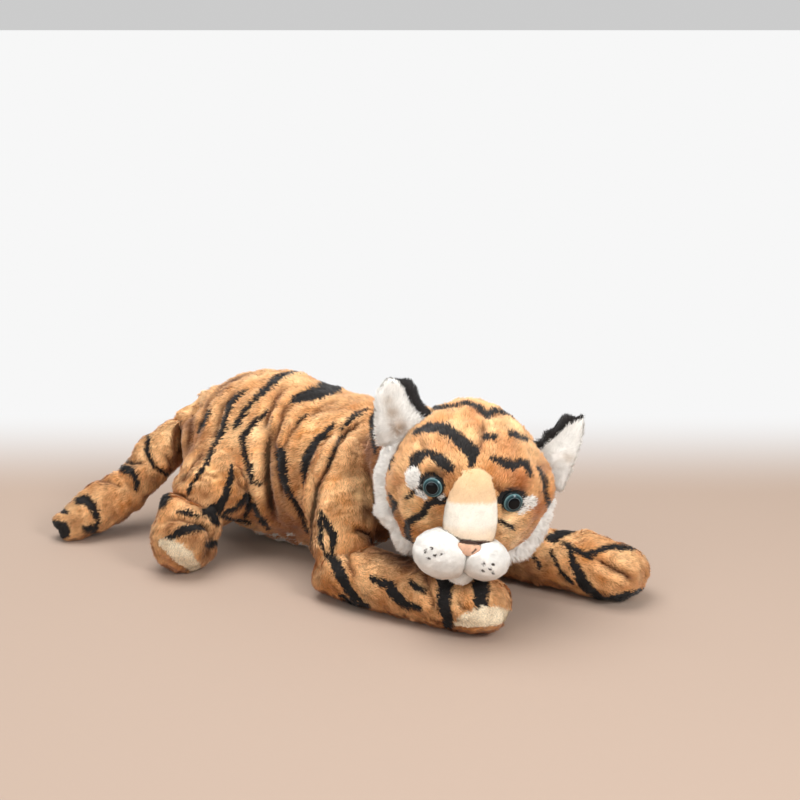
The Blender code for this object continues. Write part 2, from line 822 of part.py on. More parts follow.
right_shoulder_shares = (0.325, -0.395, 0.61)
left_shoulder_shares = (0.38, 0.30, 0.46)
RIGHT_SHOULDER = on_body(*right_shoulder_shares)
LEFT_SHOULDER = on_body(*left_shoulder_shares)
FORELEGS = (
    (
        "right", RIGHT_SHOULDER, right_upper_bearing, right_elbow_reach, right_forearm_bearing,
        right_forearm_length, right_forearm_bearing - fore_cap_turn,
        (right_shoulder_range, right_elbow_range),
    ),
    (
        "left", LEFT_SHOULDER, left_upper_bearing, left_elbow_reach, left_forearm_bearing,
        left_forearm_length, left_forearm_bearing + fore_cap_turn,
        (left_shoulder_range, left_elbow_range),
    ),
)
for values in FORELEGS:
    forearm, stations, cap_frame, cap_size = foreleg(*values)
    toe_cap(f"{values[0]}_fore_toe_cap", forearm, stations, cap_frame, cap_size)

# Hind legs, one the mirror image of the other. The thigh's stations have their share of the way from
# hip to foot, or behind the hip of the ball's radius, and of the thigh's width and depth. The foot's
# have their share of the way from hip to foot or from foot to toe, and of its width and height.
hip_shares = (-0.19, 0.33, 0.48)
foot_rise_share = 0.55
toe_rise_share = 0.30
thigh_end_shares = (0.80, 0.45)
thigh_shares = ((0.0, 0.94, 0.94), (0.30, 1.0, 1.0), (0.52, 0.88, 0.90), (0.70, 0.60, 0.62))
hock_shares = ((0.55, 0.70), (0.74, 0.92), (1.0, 1.0))
hind_toe_shares = ((0.62, 0.88, 0.80), (1.0, 0.52, 0.44))
foot_middle_share = 0.25
hind_cap_depth_share = 0.27
for side_name, side in EACH_SIDE:
    along_share, left_share, height_share = hip_shares
    hip = on_body(along_share, side * left_share, height_share)
    out = bearing(body_turn + side * hind_spread)
    foot = hip + out * hind_foot_reach
    foot.z = hind_foot_height * foot_rise_share
    toe = foot + out * hind_toe_overhang
    toe.z = hind_foot_height * toe_rise_share
    line = (foot - hip).normalized()
    behind, end_width = thigh_end_shares
    thigh_stations = [
        oval(hip - line * hip_ball_radius * behind, thigh_width * end_width, thigh_depth * end_width)
    ]
    for place, width, depth in thigh_shares:
        thigh_stations.append(oval(between(hip, foot, place), thigh_width * width, thigh_depth * depth))
    thigh, thigh_ball, thigh_seat = limb(
        f"{side_name}_thigh", thigh_stations, ORANGE_PLUSH, hip, hip_ball_radius, LEFT
    )
    thigh_grown = grown(f"{thigh.name}_grown", thigh, seam_gap)
    cut(thigh, *turned_copies(TORSO_AROUND, hip, LEFT, hip_range), FLOOR)
    combine(thigh, thigh_ball, "UNION")
    torso_seats.append(thigh_seat)
    foot_stations = []
    for place, size in hock_shares:
        foot_stations.append(oval(between(hip, foot, place), hind_foot_width * size, hind_foot_height * size))
    for place, width, height in hind_toe_shares:
        foot_stations.append(
            oval(between(foot, toe, place), hind_foot_width * width, hind_foot_height * height)
        )
    foot_stations, lift = settled(foot_stations, plain_levels)
    hind_foot = form(f"{side_name}_hind_foot", foot_stations, plain_levels, ORANGE_PLUSH)
    cut(hind_foot, thigh_grown, *turned_copies(TORSO_AROUND, hip, LEFT, hip_range))
    cap_frame = cap_seam(
        between(foot, toe, foot_middle_share) + lift,
        bearing(body_turn + side * (hind_spread + hind_cap_turn)),
        hind_cap_slope,
        hind_foot_width * hind_cap_depth_share,
    )
    toe_cap(f"{side_name}_hind_toe_cap", hind_foot, foot_stations, cap_frame, hind_foot_width * 3.0)

# Tail: a root part that comes down from the rump, and an end part that lies on the floor. A station
# has its share of the tail's reach and of its drop, and its width between two of the tail's sizes.
tail_place_shares = (-0.435, -0.05, 0.69)
bend_shares = (0.51, 0.27)
TAIL_ROOT = on_body(*tail_place_shares)
tail_drop = TAIL_ROOT.z - tail_end_width / 2.0


def on_tail(reach_share, drop_share):
    place = TAIL_ROOT + bearing(tail_bearing) * tail_reach * reach_share
    place.z = tail_end_width / 2.0 + tail_drop * drop_share
    return place


TAIL_BEND = on_tail(*bend_shares)
end_shares = (
    (0.44, 0.33, 0.62, 0.0),
    (*bend_shares, 0.98, 0.0),
    (0.72, 0.13, 1.0, 0.0),
    (0.90, 0.02, 1.0, 0.5),
    (1.0, -0.05, 0.7, 1.0),
)
tail_end_stations = []
for reach_share, drop_share, size_share, taper_share in end_shares:
    width = between(tail_end_width, tail_tip_width, taper_share) * size_share
    tail_end_stations.append(oval(on_tail(reach_share, drop_share), width, width))
tail_end_stations, lift = settled(tail_end_stations, plain_levels)
TAIL_BEND = TAIL_BEND + lift
root_shares = ((-0.09, 1.03, 0.62, 0.0), (0.0, 1.0, 1.0, 0.0), (0.20, 0.70, 1.0, 0.0), (0.37, 0.45, 1.0, 0.6))
tail_root_stations = []
for reach_share, drop_share, size_share, taper_share in root_shares:
    width = between(tail_root_width, tail_end_width, taper_share) * size_share
    tail_root_stations.append(oval(on_tail(reach_share, drop_share), width, width))
tail_root_stations.append(oval(TAIL_BEND, tail_end_width, tail_end_width))
tail_root, tail_ball, tail_seat = limb(
    "tail_root", tail_root_stations, ORANGE_PLUSH, TAIL_ROOT, tail_ball_radius
)
tail_root_grown = grown("tail_root_grown", tail_root, ball_clearance)
cut(tail_root, *turned_copies(TORSO_AROUND, TAIL_ROOT, UP, tail_root_range))
combine(tail_root, tail_ball, "UNION")
torso_seats.append(tail_seat)
tail_end, tail_end_ball, tail_end_seat = limb(
    "tail_end", tail_end_stations, ORANGE_PLUSH, TAIL_BEND, tail_bend_ball_radius
)
cut(tail_end, *turned_copies(tail_root_grown, TAIL_BEND, UP, tail_bend_range))
combine(tail_end, tail_end_ball, "UNION")
cut(tail_end, FLOOR)
cut(tail_root, tail_end_seat, FLOOR)

# The torso, opened by its seats and pressed on the floor.
cut(body_skin, torso_fill_grown, skin_zone_cutter, *torso_seats)
cut(belly_panel, torso_fill_grown, FLOOR, *torso_seats)
cut(body_stuffing, FLOOR, *torso_seats)

# The wide flat faces that the cuts leave are split into well shaped triangles.
for piece in PARTS.objects:
    split = piece.modifiers.new("triangles", "TRIANGULATE")
    split.quad_method = "FIXED"
    split.ngon_method = "BEAUTY"
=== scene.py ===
import json
import math

import bpy
import numpy as np
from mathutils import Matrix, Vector
from mathutils.bvhtree import BVHTree


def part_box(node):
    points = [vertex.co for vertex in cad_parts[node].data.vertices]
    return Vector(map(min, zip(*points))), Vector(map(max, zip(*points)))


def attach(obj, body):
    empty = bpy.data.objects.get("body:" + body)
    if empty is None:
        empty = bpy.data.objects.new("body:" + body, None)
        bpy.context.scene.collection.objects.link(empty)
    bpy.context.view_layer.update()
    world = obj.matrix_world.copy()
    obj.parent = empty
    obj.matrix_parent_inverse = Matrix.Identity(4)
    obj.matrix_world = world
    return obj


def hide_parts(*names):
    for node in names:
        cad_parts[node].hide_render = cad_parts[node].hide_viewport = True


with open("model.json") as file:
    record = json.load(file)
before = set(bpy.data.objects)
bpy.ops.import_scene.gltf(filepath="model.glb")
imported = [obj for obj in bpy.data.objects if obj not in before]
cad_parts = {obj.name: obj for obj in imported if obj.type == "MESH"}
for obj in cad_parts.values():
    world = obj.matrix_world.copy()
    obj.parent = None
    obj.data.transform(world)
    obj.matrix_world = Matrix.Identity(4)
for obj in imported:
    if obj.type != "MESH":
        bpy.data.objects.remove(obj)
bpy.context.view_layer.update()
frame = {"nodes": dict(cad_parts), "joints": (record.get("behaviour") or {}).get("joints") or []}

# Camera. It stands in front of the toy and looks a little down on it, at the photograph's viewing
# angle. Stripes, folds and patches are placed through it, in pixels of the 800 x 800 picture.
picture_width = 800.0
bpy.ops.object.select_all(action="DESELECT")
bpy.ops.object.camera_add(location=(0.11, -1.515, 0.6157), rotation=(math.radians(73.091), 0.0, 0.0))
camera = bpy.context.active_object
camera.name = "camera"
camera.data.lens = 67.5
camera.data.sensor_width = 36.0
bpy.context.scene.camera = camera
bpy.context.view_layer.update()
camera_place = np.array(camera.location)
camera_axes = np.array(camera.matrix_world.to_3x3())
camera_scale = picture_width * camera.data.lens / camera.data.sensor_width

# Floor and light. A plain pale floor fades back into white. A wide soft lamp hangs overhead, a
# smaller one stands at the front right and a weak one at the front left, in an even white surround.
bpy.ops.mesh.primitive_plane_add(size=14.0, location=(0.0, 3.0, 0.0))
floor = bpy.context.active_object
floor.name = "floor"


def new_finish(name):
    """A new material: itself, its nodes, its links and its shader."""
    made = bpy.data.materials.new(name)
    made.use_nodes = True
    tree = made.node_tree
    return made, tree.nodes, tree.links, tree.nodes["Principled BSDF"]


def tune(node, values):
    for name, value in values.items():
        node.inputs[name].default_value = value


def wire(links, *runs):
    """Links nodes, each run being (node, output, node, input)."""
    for source, output, target, entry in runs:
        links.new(source.outputs[output], target.inputs[entry])


floor_finish, floor_nodes, floor_links, floor_shader = new_finish("pale_floor")
tune(floor_shader, {"Base Color": (0.355, 0.264, 0.206, 1.0), "Roughness": 0.75})
floor_place, floor_depth, floor_fade, floor_glow, floor_blend = map(floor_nodes.new, (
    "ShaderNodeTexCoord", "ShaderNodeSeparateXYZ", "ShaderNodeMapRange", "ShaderNodeEmission", "ShaderNodeMixShader",
))
floor_fade.interpolation_type = "SMOOTHSTEP"
tune(floor_fade, {"From Min": -2.88, "From Max": -2.55})
tune(floor_glow, {"Color": (0.93, 0.93, 0.93, 1.0)})
wire(
    floor_links, (floor_place, "Object", floor_depth, "Vector"), (floor_depth, "Y", floor_fade, "Value"),
    (floor_fade, "Result", floor_blend, "Fac"), (floor_shader, "BSDF", floor_blend, 1),
    (floor_glow, "Emission", floor_blend, 2), (floor_blend, "Shader", floor_nodes["Material Output"], "Surface"),
)
floor.data.materials.append(floor_finish)

lit_place = Vector((0.05, -0.05, 0.1))
for lamp_name, lamp_place, lamp_size, lamp_power in (
    ("front_lamp", (1.15, -1.30, 1.20), 0.6, 25.0),
    ("ceiling_lamp", (-0.25, 0.00, 1.8), 1.3, 34.0),
    ("side_lamp", (-0.90, -1.50, 0.90), 1.2, 9.0),
):
    bpy.ops.object.light_add(type="AREA", location=lamp_place)
    lamp = bpy.context.active_object
    lamp.name = lamp_name
    lamp.data.size = lamp_size
    lamp.data.energy = lamp_power
    lamp.rotation_euler = (lit_place - lamp.location).to_track_quat("-Z", "Y").to_euler()
surround = bpy.data.worlds.new("studio")
surround.use_nodes = True
tune(surround.node_tree.nodes["Background"], {"Color": (1.0, 1.0, 1.0, 1.0), "Strength": 0.60})
bpy.context.scene.world = surround
bpy.context.scene.view_settings.view_transform = "Standard"

# Body. A bag of orange striped plush for back, sides and chest, with a white plush panel let into
# the belly, turned out through its back seam and packed with fibre filling.
ORANGE = np.array((0.58, 0.215, 0.045))
TAN = np.array((0.89, 0.525, 0.235))
BLACK = np.array((0.017, 0.014, 0.013))
WHITE = np.array((0.86, 0.82, 0.76))
floor_gap = 0.0004
joint_place = {joint["name"]: np.array(joint["pos_m"]) for joint in frame["joints"]}


def picture_place(points):
    """Where points of the toy lie in the photograph, in pixels from its upper left corner."""
    local = (points - camera_place) @ camera_axes
    across = picture_width / 2.0 - camera_scale * local[:, 0] / local[:, 2]
    down = picture_width / 2.0 + camera_scale * local[:, 1] / local[:, 2]
    return np.stack([across, down], axis=1)


def unit(ways):
    return ways / np.linalg.norm(ways, axis=1)[:, None]


def skin_points(piece):
    """A skin's points and their normals."""
    count = len(piece.data.vertices)
    points, normals = np.empty(count * 3, np.float32), np.empty(count * 3, np.float32)
    piece.data.vertices.foreach_get("co", points)
    piece.data.vertex_normals.foreach_get("vector", normals)
    return points.reshape(-1, 3).astype(float), normals.reshape(-1, 3).astype(float)


def set_skin_points(piece, points):
    """Moves a skin's points, none of them lower than just over the floor."""
    points[:, 2] = np.maximum(points[:, 2], floor_gap)
    piece.data.vertices.foreach_set("co", points.astype(np.float32).ravel())
    piece.data.update()


def join(piece, *others):
    bpy.ops.object.select_all(action="DESELECT")
    for part in (piece, *others):
        part.select_set(True)
    bpy.context.view_layer.objects.active = piece
    bpy.ops.object.join()


def stuffed_skin(name, nodes, fillings=(), cell=0.0035, rounds=8, pile_room=0.0004):
    """One closed skin over the solids of a stuffed piece, and over balls of filling in its seats.

    It lies under the solids' surface by the room that the pile takes, and flat on the floor.
    """
    parts = []
    for node in nodes:
        part = bpy.data.objects.new("part", frame["nodes"][node].data.copy())
        bpy.context.scene.collection.objects.link(part)
        parts.append(part)
    for place, radius in fillings:
        bpy.ops.mesh.primitive_uv_sphere_add(segments=32, ring_count=16, radius=radius, location=place)
        parts.append(bpy.context.active_object)
    join(*parts)
    piece = parts[0]
    piece.name = name
    piece.data.name = name
    piece.data.materials.clear()
    bpy.ops.object.transform_apply(location=True, rotation=True, scale=True)
    bpy.ops.object.mode_set(mode="EDIT")
    bpy.ops.mesh.select_all(action="SELECT")
    bpy.ops.mesh.remove_doubles(threshold=0.00001)
    bpy.ops.object.mode_set(mode="OBJECT")
    bpy.ops.object.modifier_add(type="REMESH")
    piece.modifiers[-1].mode = "VOXEL"
    piece.modifiers[-1].voxel_size = cell
    bpy.ops.object.modifier_apply(modifier=piece.modifiers[-1].name)
    bpy.ops.object.modifier_add(type="SMOOTH")
    piece.modifiers[-1].factor = 0.5
    piece.modifiers[-1].iterations = rounds
    bpy.ops.object.modifier_apply(modifier=piece.modifiers[-1].name)
    points, normals = skin_points(piece)
    set_skin_points(piece, points - normals * pile_room)
    for attribute in list(piece.data.attributes):
        if attribute.name.startswith("sharp"):
            piece.data.attributes.remove(attribute)
    piece.data.shade_smooth()
    return piece


def ripple(points, width, seed):
    """A soft random drift of three values between about -1 and 1, as wide as this."""
    dice = np.random.default_rng(seed)
    found = np.zeros((len(points), 3))
    for _ in range(7):
        way = dice.normal(size=(3, 3)) * (2.0 * math.pi / width / 1.7)
        found += np.sin(points @ way + dice.uniform(0.0, 6.28, size=3))
    return found / 2.6


def line_gap(places, stops):
    """How far places of the picture lie from a line, in pixels, and where along it, as a share."""
    stops = np.array(stops, float)
    runs = np.linalg.norm(np.diff(stops, axis=0), axis=1)
    start = np.concatenate([[0.0], np.cumsum(runs)])
    gap, along = np.full(len(places), 1e9), np.zeros(len(places))
    margin = 40.0
    close = np.flatnonzero(((places > stops.min(0) - margin) & (places < stops.max(0) + margin)).all(1))
    for index, run in enumerate(runs):
        way = (stops[index + 1] - stops[index]) / run
        offset = places[close] - stops[index]
        share = np.clip(offset @ way, 0.0, run)
        own = np.linalg.norm(offset - share[:, None] * way, axis=1)
        nearer = own < gap[close]
        gap[close[nearer]] = own[nearer]
        along[close[nearer]] = (start[index] + share[nearer]) / start[-1]
    return gap, along


def line_share(places, lines, wander=0.0, seed=0):
    """Which places of the picture lie within painted lines, each (half widths, points) in pixels.

    The half widths are spread evenly along it. It is laid wider by its wander, as tufts cross it.
    """
    slack = np.random.default_rng(seed).normal(size=len(places)) * wander
    inside = np.zeros(len(places), bool)
    for half_widths, stops in lines:
        gap, along = line_gap(places, stops)
        widths = np.interp(along, np.linspace(0.0, 1.0, len(half_widths)), half_widths)
        inside |= gap < widths + slack + wander
    return inside


def facing_share(points, normals):
    """1 where a skin faces the photograph's camera, 0 where it faces away."""
    return np.clip((normals * unit(camera_place - points)).sum(1) * 3.0, 0.0, 1.0)


def paint_light_and_shade(colours, points, normals, patches, tilt=(0.9, 1.25, 1.6)):
    """Paints light and shade in patches of the seen side: paler where light falls, darker and redder where shade falls.
    """
    places, facing = picture_place(points), facing_share(points, normals)
    for tone, reach, place in patches:
        weight = (facing * np.exp(-((np.linalg.norm(places - place, axis=1) / reach) ** 2)))[:, None]
        colours = colours * (1.0 + weight * (tone ** np.array(tilt) - 1.0))
    return colours


def along_folds(points, normals, folds):
    """Of each fold: its half width, how far a skin's points lie from it, and how deep it is there."""
    places, facing = picture_place(points), facing_share(points, normals)
    for depth, half_width, stops in folds:
        gap, along = line_gap(places, stops)
        yield half_width, gap, depth * facing * np.clip(np.minimum(along, 1.0 - along) * 6.0, 0.1, 1.0)


def fold_shade_and_highlight(colours, points, normals, folds):
    """Painted shade along each fold's valley, where the pile is darkened, and painted highlight on the ridges beside
    it, where it is made paler.
    """
    for half_width, gap, depths in along_folds(points, normals, folds):
        weight = depths / 0.004
        dip = weight * np.exp(-((gap / (0.8 * half_width)) ** 2))
        ridge = weight * np.exp(-(((gap - 2.4 * half_width) / (1.3 * half_width)) ** 2))
        colours = colours * (1.0 - np.clip(dip[:, None] * (0.72, 0.80, 0.85), 0.0, 0.88))
        colours = colours * (1.0 + ridge[:, None] * (0.16, 0.22, 0.30))
    return colours


def fur_tint(points, normals, seed, light=0.42, patches=(), folds=(), tilt=(0.9, 1.25, 1.6)):
    """The orange plush: tan where it faces up and orange below, as painted light and shade, drifting at random between
    them, with painted light and shade in patches and folds, each tuft its own tone.
    """
    dice = np.random.default_rng(seed)
    # Painted light: the tan share rises where the skin faces up and falls where it faces down.
    drift = light + 0.30 * normals[:, 2:] + 0.26 * ripple(points, 0.040, seed + 1)[:, :1]
    drift = np.clip(drift + 0.13 * ripple(points, 0.009, seed + 3)[:, :1], 0.0, 1.0)
    shade = 1.0 + 0.06 * dice.normal(size=(len(points), 1)) + 0.08 * ripple(points, 0.012, seed + 2)[:, :1]
    shade += 0.05 * ripple(points, 0.0035, seed + 4)[:, :1]
    colours = (ORANGE * (1.0 - drift) + TAN * drift) * np.clip(shade, 0.6, 1.4)
    return fold_shade_and_highlight(paint_light_and_shade(colours, points, normals, patches, tilt), points, normals, folds)


def plain_tint(points, colour, seed, spread=0.06):
    dice = np.random.default_rng(seed)
    return np.array(colour) * np.clip(1.0 + spread * dice.normal(size=(len(points), 1)), 0.6, 1.25)


def paint_skin(piece, finish, tint, tone=0.66):
    """Gives the backing cloth the finish and colour of the pile that grows on it, a little darker."""
    piece.data.materials.append(finish)
    points, normals = skin_points(piece)
    colours = np.ones((len(points), 4), np.float32)
    colours[:, :3] = tint(points, normals) * tone
    layer = piece.data.color_attributes.new("pile_colour", "FLOAT_COLOR", "POINT")
    layer.data.foreach_set("color", colours.ravel())


def plush_finish(name, grain):
    """Plush: the colour of each tuft, mottled a little, very rough, with the sheen of combed pile."""
    made, nodes, links, shader = new_finish(name)
    colour, place, mottle, spread, mixed = map(nodes.new, (
        "ShaderNodeAttribute", "ShaderNodeTexCoord", "ShaderNodeTexNoise", "ShaderNodeMapRange", "ShaderNodeVectorMath",
    ))
    colour.attribute_name = "pile_colour"
    mixed.operation = "SCALE"
    tune(mottle, {"Scale": grain, "Detail": 3.0})
    tune(spread, {"To Min": 0.86, "To Max": 1.14})
    wire(
        links, (place, "Object", mottle, "Vector"), (mottle, "Fac", spread, "Value"), (colour, "Color", mixed, 0),
        (spread, "Result", mixed, "Scale"), (mixed, "Vector", shader, "Base Color"),
    )
    tune(shader, {"Roughness": 0.82, "Specular IOR Level": 0.25, "Sheen Weight": 0.12, "Sheen Roughness": 0.5})
    return made


PLUSH = plush_finish("striped_plush", 90.0)


def leaned(way, up, angle):
    """Directions leaned by an angle from way towards up."""
    return way * np.cos(angle)[:, None] + up * np.sin(angle)[:, None]


def pile(piece, tint, comb, length, width=0.00062, density=1.1e6, lift=0.42, tufting=0.32, seed=1,
         bare=None, name=None, root_shade=0.64):
    """The pile of a plush cloth: bent, tapered tufts that lie along the comb over a skin.

    With a name it is a piece of its own, otherwise it is sewn into the skin's own mesh.
    """
    dice = np.random.default_rng(seed)
    mesh = piece.data
    mesh.calc_loop_triangles()
    corners = np.empty(len(mesh.loop_triangles) * 3, np.int32)
    mesh.loop_triangles.foreach_get("vertices", corners)
    corners = corners.reshape(-1, 3)
    points, normals = skin_points(piece)
    edge_a = points[corners[:, 1]] - points[corners[:, 0]]
    edge_b = points[corners[:, 2]] - points[corners[:, 0]]
    areas = np.linalg.norm(np.cross(edge_a, edge_b), axis=1) / 2.0
    count = int(areas.sum() * density)
    chosen = np.searchsorted(np.cumsum(areas), dice.uniform(0.0, areas.sum(), count)).clip(0, len(areas) - 1)
    first, second = dice.uniform(size=count), dice.uniform(size=count)
    over = first + second > 1.0
    first[over], second[over] = 1.0 - first[over], 1.0 - second[over]
    shares = np.stack([1.0 - first - second, first, second], axis=1)[:, :, None]
    roots = (points[corners[chosen]] * shares).sum(1)
    up = unit((normals[corners[chosen]] * shares).sum(1))
    if bare is not None:
        kept = ~bare(roots, up)
        roots, up = roots[kept], up[kept]
    count = len(roots)
    colours = tint(roots, up)
    reach = length(roots, up) if callable(length) else np.full(count, length)
    reach = reach * dice.uniform(0.72, 1.12, count)
    way = comb(roots, up) + tufting * ripple(roots, 0.012, seed + 5) + 0.16 * dice.normal(size=(count, 3))
    way -= up * (way * up).sum(1)[:, None]
    way /= np.maximum(np.linalg.norm(way, axis=1), 1e-6)[:, None]
    rise = np.clip(lift + 0.16 * ripple(roots, 0.014, seed + 6)[:, 0] + 0.10 * dice.normal(size=count), 0.12, 1.3)
    side = leaned(np.cross(way, up), up, dice.normal(size=count) * 0.35)
    knee, root_depth, tip_gap = 0.55, 0.0004, 0.0002
    middle = roots + leaned(way, up, rise * 1.25) * (reach * knee)[:, None]
    tips = middle + leaned(way, up, rise * 0.55) * (reach * (1.0 - knee))[:, None]
    wide = side * (width * dice.uniform(0.7, 1.2, count) / 2.0)[:, None]
    quads = np.stack([roots - up * root_depth, middle - wide, middle + wide, tips], axis=1)
    quads[:, :, 2] = np.maximum(quads[:, :, 2], tip_gap)
    own = bpy.data.meshes.new(name or "pile")
    own.vertices.add(count * 4)
    own.vertices.foreach_set("co", quads.astype(np.float32).ravel())
    order = np.array([0, 2, 1, 1, 2, 3], np.int32)
    own.loops.add(count * 6)
    own.loops.foreach_set("vertex_index", (np.arange(count, dtype=np.int32)[:, None] * 4 + order).ravel())
    own.polygons.add(count * 2)
    own.polygons.foreach_set("loop_start", np.arange(count * 2, dtype=np.int32) * 3)
    own.update(calc_edges=True)
    # Painted shade darkens each tuft's root, and a painted sheen makes its middle and tip paler.
    tones = np.ones((count, 4, 4), np.float32)
    for corner, (tone, painted_sheen) in enumerate(((root_shade, 0.0), (0.98, 0.02), (0.98, 0.02), (1.08, 0.06))):
        tones[:, corner, :3] = colours * tone * (1.0 - painted_sheen) + painted_sheen * 0.8 * (colours.max(1) > 0.2)[:, None]
    layer = own.color_attributes.new("pile_colour", "FLOAT_COLOR", "POINT")
    layer.data.foreach_set("color", tones.ravel())
    own.shade_smooth()
    leans = up + 0.25 * way + 0.08 * dice.normal(size=(count, 3))
    own.normals_split_custom_set_from_vertices(np.repeat(leans, 4, axis=0))
    own.materials.append(piece.data.materials[0])
    tufts = bpy.data.objects.new(name or f"{piece.name}_tufts", own)
    bpy.context.scene.collection.objects.link(tufts)
    if name:
        return tufts
    join(piece, tufts)
    return piece


def solid_tree(*nodes):
    """A search tree over CAD solids."""
    points, faces = [], []
    for node in nodes:
        mesh = frame["nodes"][node].data
        faces += [[corner + len(points) for corner in face.vertices] for face in mesh.polygons]
        points += [point.co for point in mesh.vertices]
    return BVHTree.FromPolygons(points, faces)


def gap_to(tree, points, reach=0.05):
    """How far points lie outside a solid, negative inside it."""
    gaps = np.full(len(points), reach)
    for index, point in enumerate(points):
        place, normal, _, distance = tree.find_nearest(Vector(point), reach)
        if place is not None:
            gaps[index] = distance if (Vector(point) - place).dot(normal) >= 0.0 else -distance
    return gaps


body_turn = math.radians(-29.0)
body_along = np.array((math.cos(body_turn), math.sin(body_turn), 0.0))
body_left = np.array((-math.sin(body_turn), math.cos(body_turn), 0.0))
panel_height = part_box("belly_panel")[1].z

# The stripes of back, flank, thigh and foot, on the side that the photograph shows.
side_stripes = [
    ((1.6, 3.3, 2.8, 1.8, 2.3, 2.3), [(293, 372), (281, 377), (270, 388), (258, 398), (247, 410), (238, 426)]),
    ((0.9, 2.6, 2, 2.3, 1.4), [(249, 390), (233, 403), (227, 419), (224, 431), (216, 446)]),
    ((1.2, 1.8, 1.2, 1.3), [(216, 446), (207, 463), (198, 475), (189, 491)]),
    ((1, 2.2, 2.9, 2.3, 1.9, 2.2, 1),
     [(268, 412), (257, 421), (245, 437), (247, 453), (251, 468), (254, 481), (263, 482)]),
    ((0.8, 1.8, 0.8), [(211, 410), (206, 423), (200, 432)]),
    ((1, 5.2, 6.2, 5.4, 1.2), [(291, 403), (303, 398), (316, 395), (328, 393), (335, 395)]),
    ((4.8, 4, 3.2, 2, 1.3, 1.2), [(283, 452), (285, 468), (288, 486), (298, 504), (304, 516), (310, 531)]),
    ((1.4, 3.3, 4.8, 4, 2.8, 1.6), [(336, 425), (320, 440), (309, 457), (307, 473), (310, 488), (313, 497)]),
    ((0.8, 1.6, 0.8), [(369, 411), (358, 415), (343, 428)]),
    ((0.8, 1.8, 1), [(344, 435), (338, 447), (329, 464)]),
    ((1.2, 1.2), [(328, 381), (334, 386)]),
    ((0.8, 1.5, 0.8), [(309, 415), (304, 418), (300, 422)]),
    ((1.2, 3.4, 1.2), [(384, 398), (374, 420), (378, 452)]),
    ((1.2, 3.4, 1.2), [(420, 400), (412, 436), (418, 470)]),
    ((1.2, 3.6, 1.2), [(466, 414), (460, 450), (470, 490)]),
    ((1.2, 2.6, 3.2, 4.4, 4), [(232, 465), (231, 477), (228, 490), (221, 505), (206, 511)]),
    ((4.2, 3), [(210, 512), (216, 521)]),
    ((1.6, 1.2), [(220, 513), (236, 518), (251, 521)]),
    ((2.4, 2, 2.4), [(248, 493), (238, 505), (225, 512)]),
    ((2, 4.2, 1.5), [(249, 494), (250, 505), (247, 515)]),
    ((2, 2.8, 1.8), [(256, 504), (261, 516), (270, 526)]),
    ((2.5, 4.4, 3.6), [(166, 489), (167, 497), (163, 503)]),
    ((1.2, 2, 1.5), [(179, 510), (189, 511), (198, 515)]),
    ((2.6, 3.6, 3.6), [(170, 536), (184, 529), (201, 526)]),
    ((3.6, 3.6), [(209, 543), (213, 541)]),
]


def body_tint(points, normals):
    """Orange with black stripes, the same on both sides of the spine; white below the belly's seam."""
    left = points @ body_left
    seen = points - 2.0 * np.maximum(left, 0.0)[:, None] * body_left
    colours = fur_tint(points, normals, 11, patches=body_patches, folds=body_folds)
    black = line_share(picture_place(seen), side_stripes, 0.7, 12)
    colours[black] = plain_tint(points[black], BLACK, 13, 0.25)
    belly = (points[:, 2] < panel_height) & (normals[:, 2] < -0.80 + 0.10 * ripple(points, 0.02, 14)[:, 0])
    colours[belly] = plain_tint(points[belly], WHITE, 15)
    return colours


def straight_comb(way):
    return lambda points, normals: np.tile(way, (len(points), 1))


# The nap runs from the neck to the rump and a little down the flanks.
body_comb = straight_comb(-body_along - np.array((0.0, 0.0, 0.55)))
body_seats = [
    (joint_place[joint], radius) for joint, radius in (
        ("head_turn", 0.050), ("right_shoulder", 0.031), ("left_shoulder", 0.031),
        ("right_hip", 0.039), ("left_hip", 0.039), ("tail_root_swing", 0.026),
    )
]
body = stuffed_skin("body", ("body_skin", "belly_panel", "body_stuffing"), body_seats, 0.0026, 20)

# Folds in the body's plush, pressed in along lines of the picture and painted with shade in each valley and highlight
# on its ridges: (depth, half width, points).
body_folds = [
    (0.0032, 2.5, [(258, 373), (240, 379), (229, 387), (216, 400)]),
    (0.0034, 2.5, [(250, 374), (223, 386), (208, 408), (199, 440)]),
    (0.0036, 2.8, [(242, 387), (224, 409), (217, 436), (206, 447)]),
    (0.0044, 3, [(204, 401), (196, 413), (193, 425), (190, 452)]),
    (0.0044, 3.5, [(286, 388), (276, 402), (270, 416), (266, 432)]),
    (0.007, 5, [(273, 426), (269, 452), (269, 478), (272, 502), (278, 522)]),
    (0.004, 3.5, [(300, 396), (285, 412), (278, 440), (280, 474), (288, 508)]),
    (0.0036, 3, [(308, 416), (292, 431), (285, 452)]),
    (0.0026, 2.5, [(343, 402), (329, 405), (312, 413)]),
    (0.0026, 2.5, [(345, 407), (328, 411), (308, 417)]),
    (0.004, 3, [(342, 426), (328, 442), (314, 468), (311, 492), (314, 516)]),
    (0.0058, 3.5, [(371, 418), (350, 430), (337, 448), (328, 470), (319, 490), (317, 508)]),
    (0.004, 3, [(291, 492), (300, 506), (308, 522)]),
]
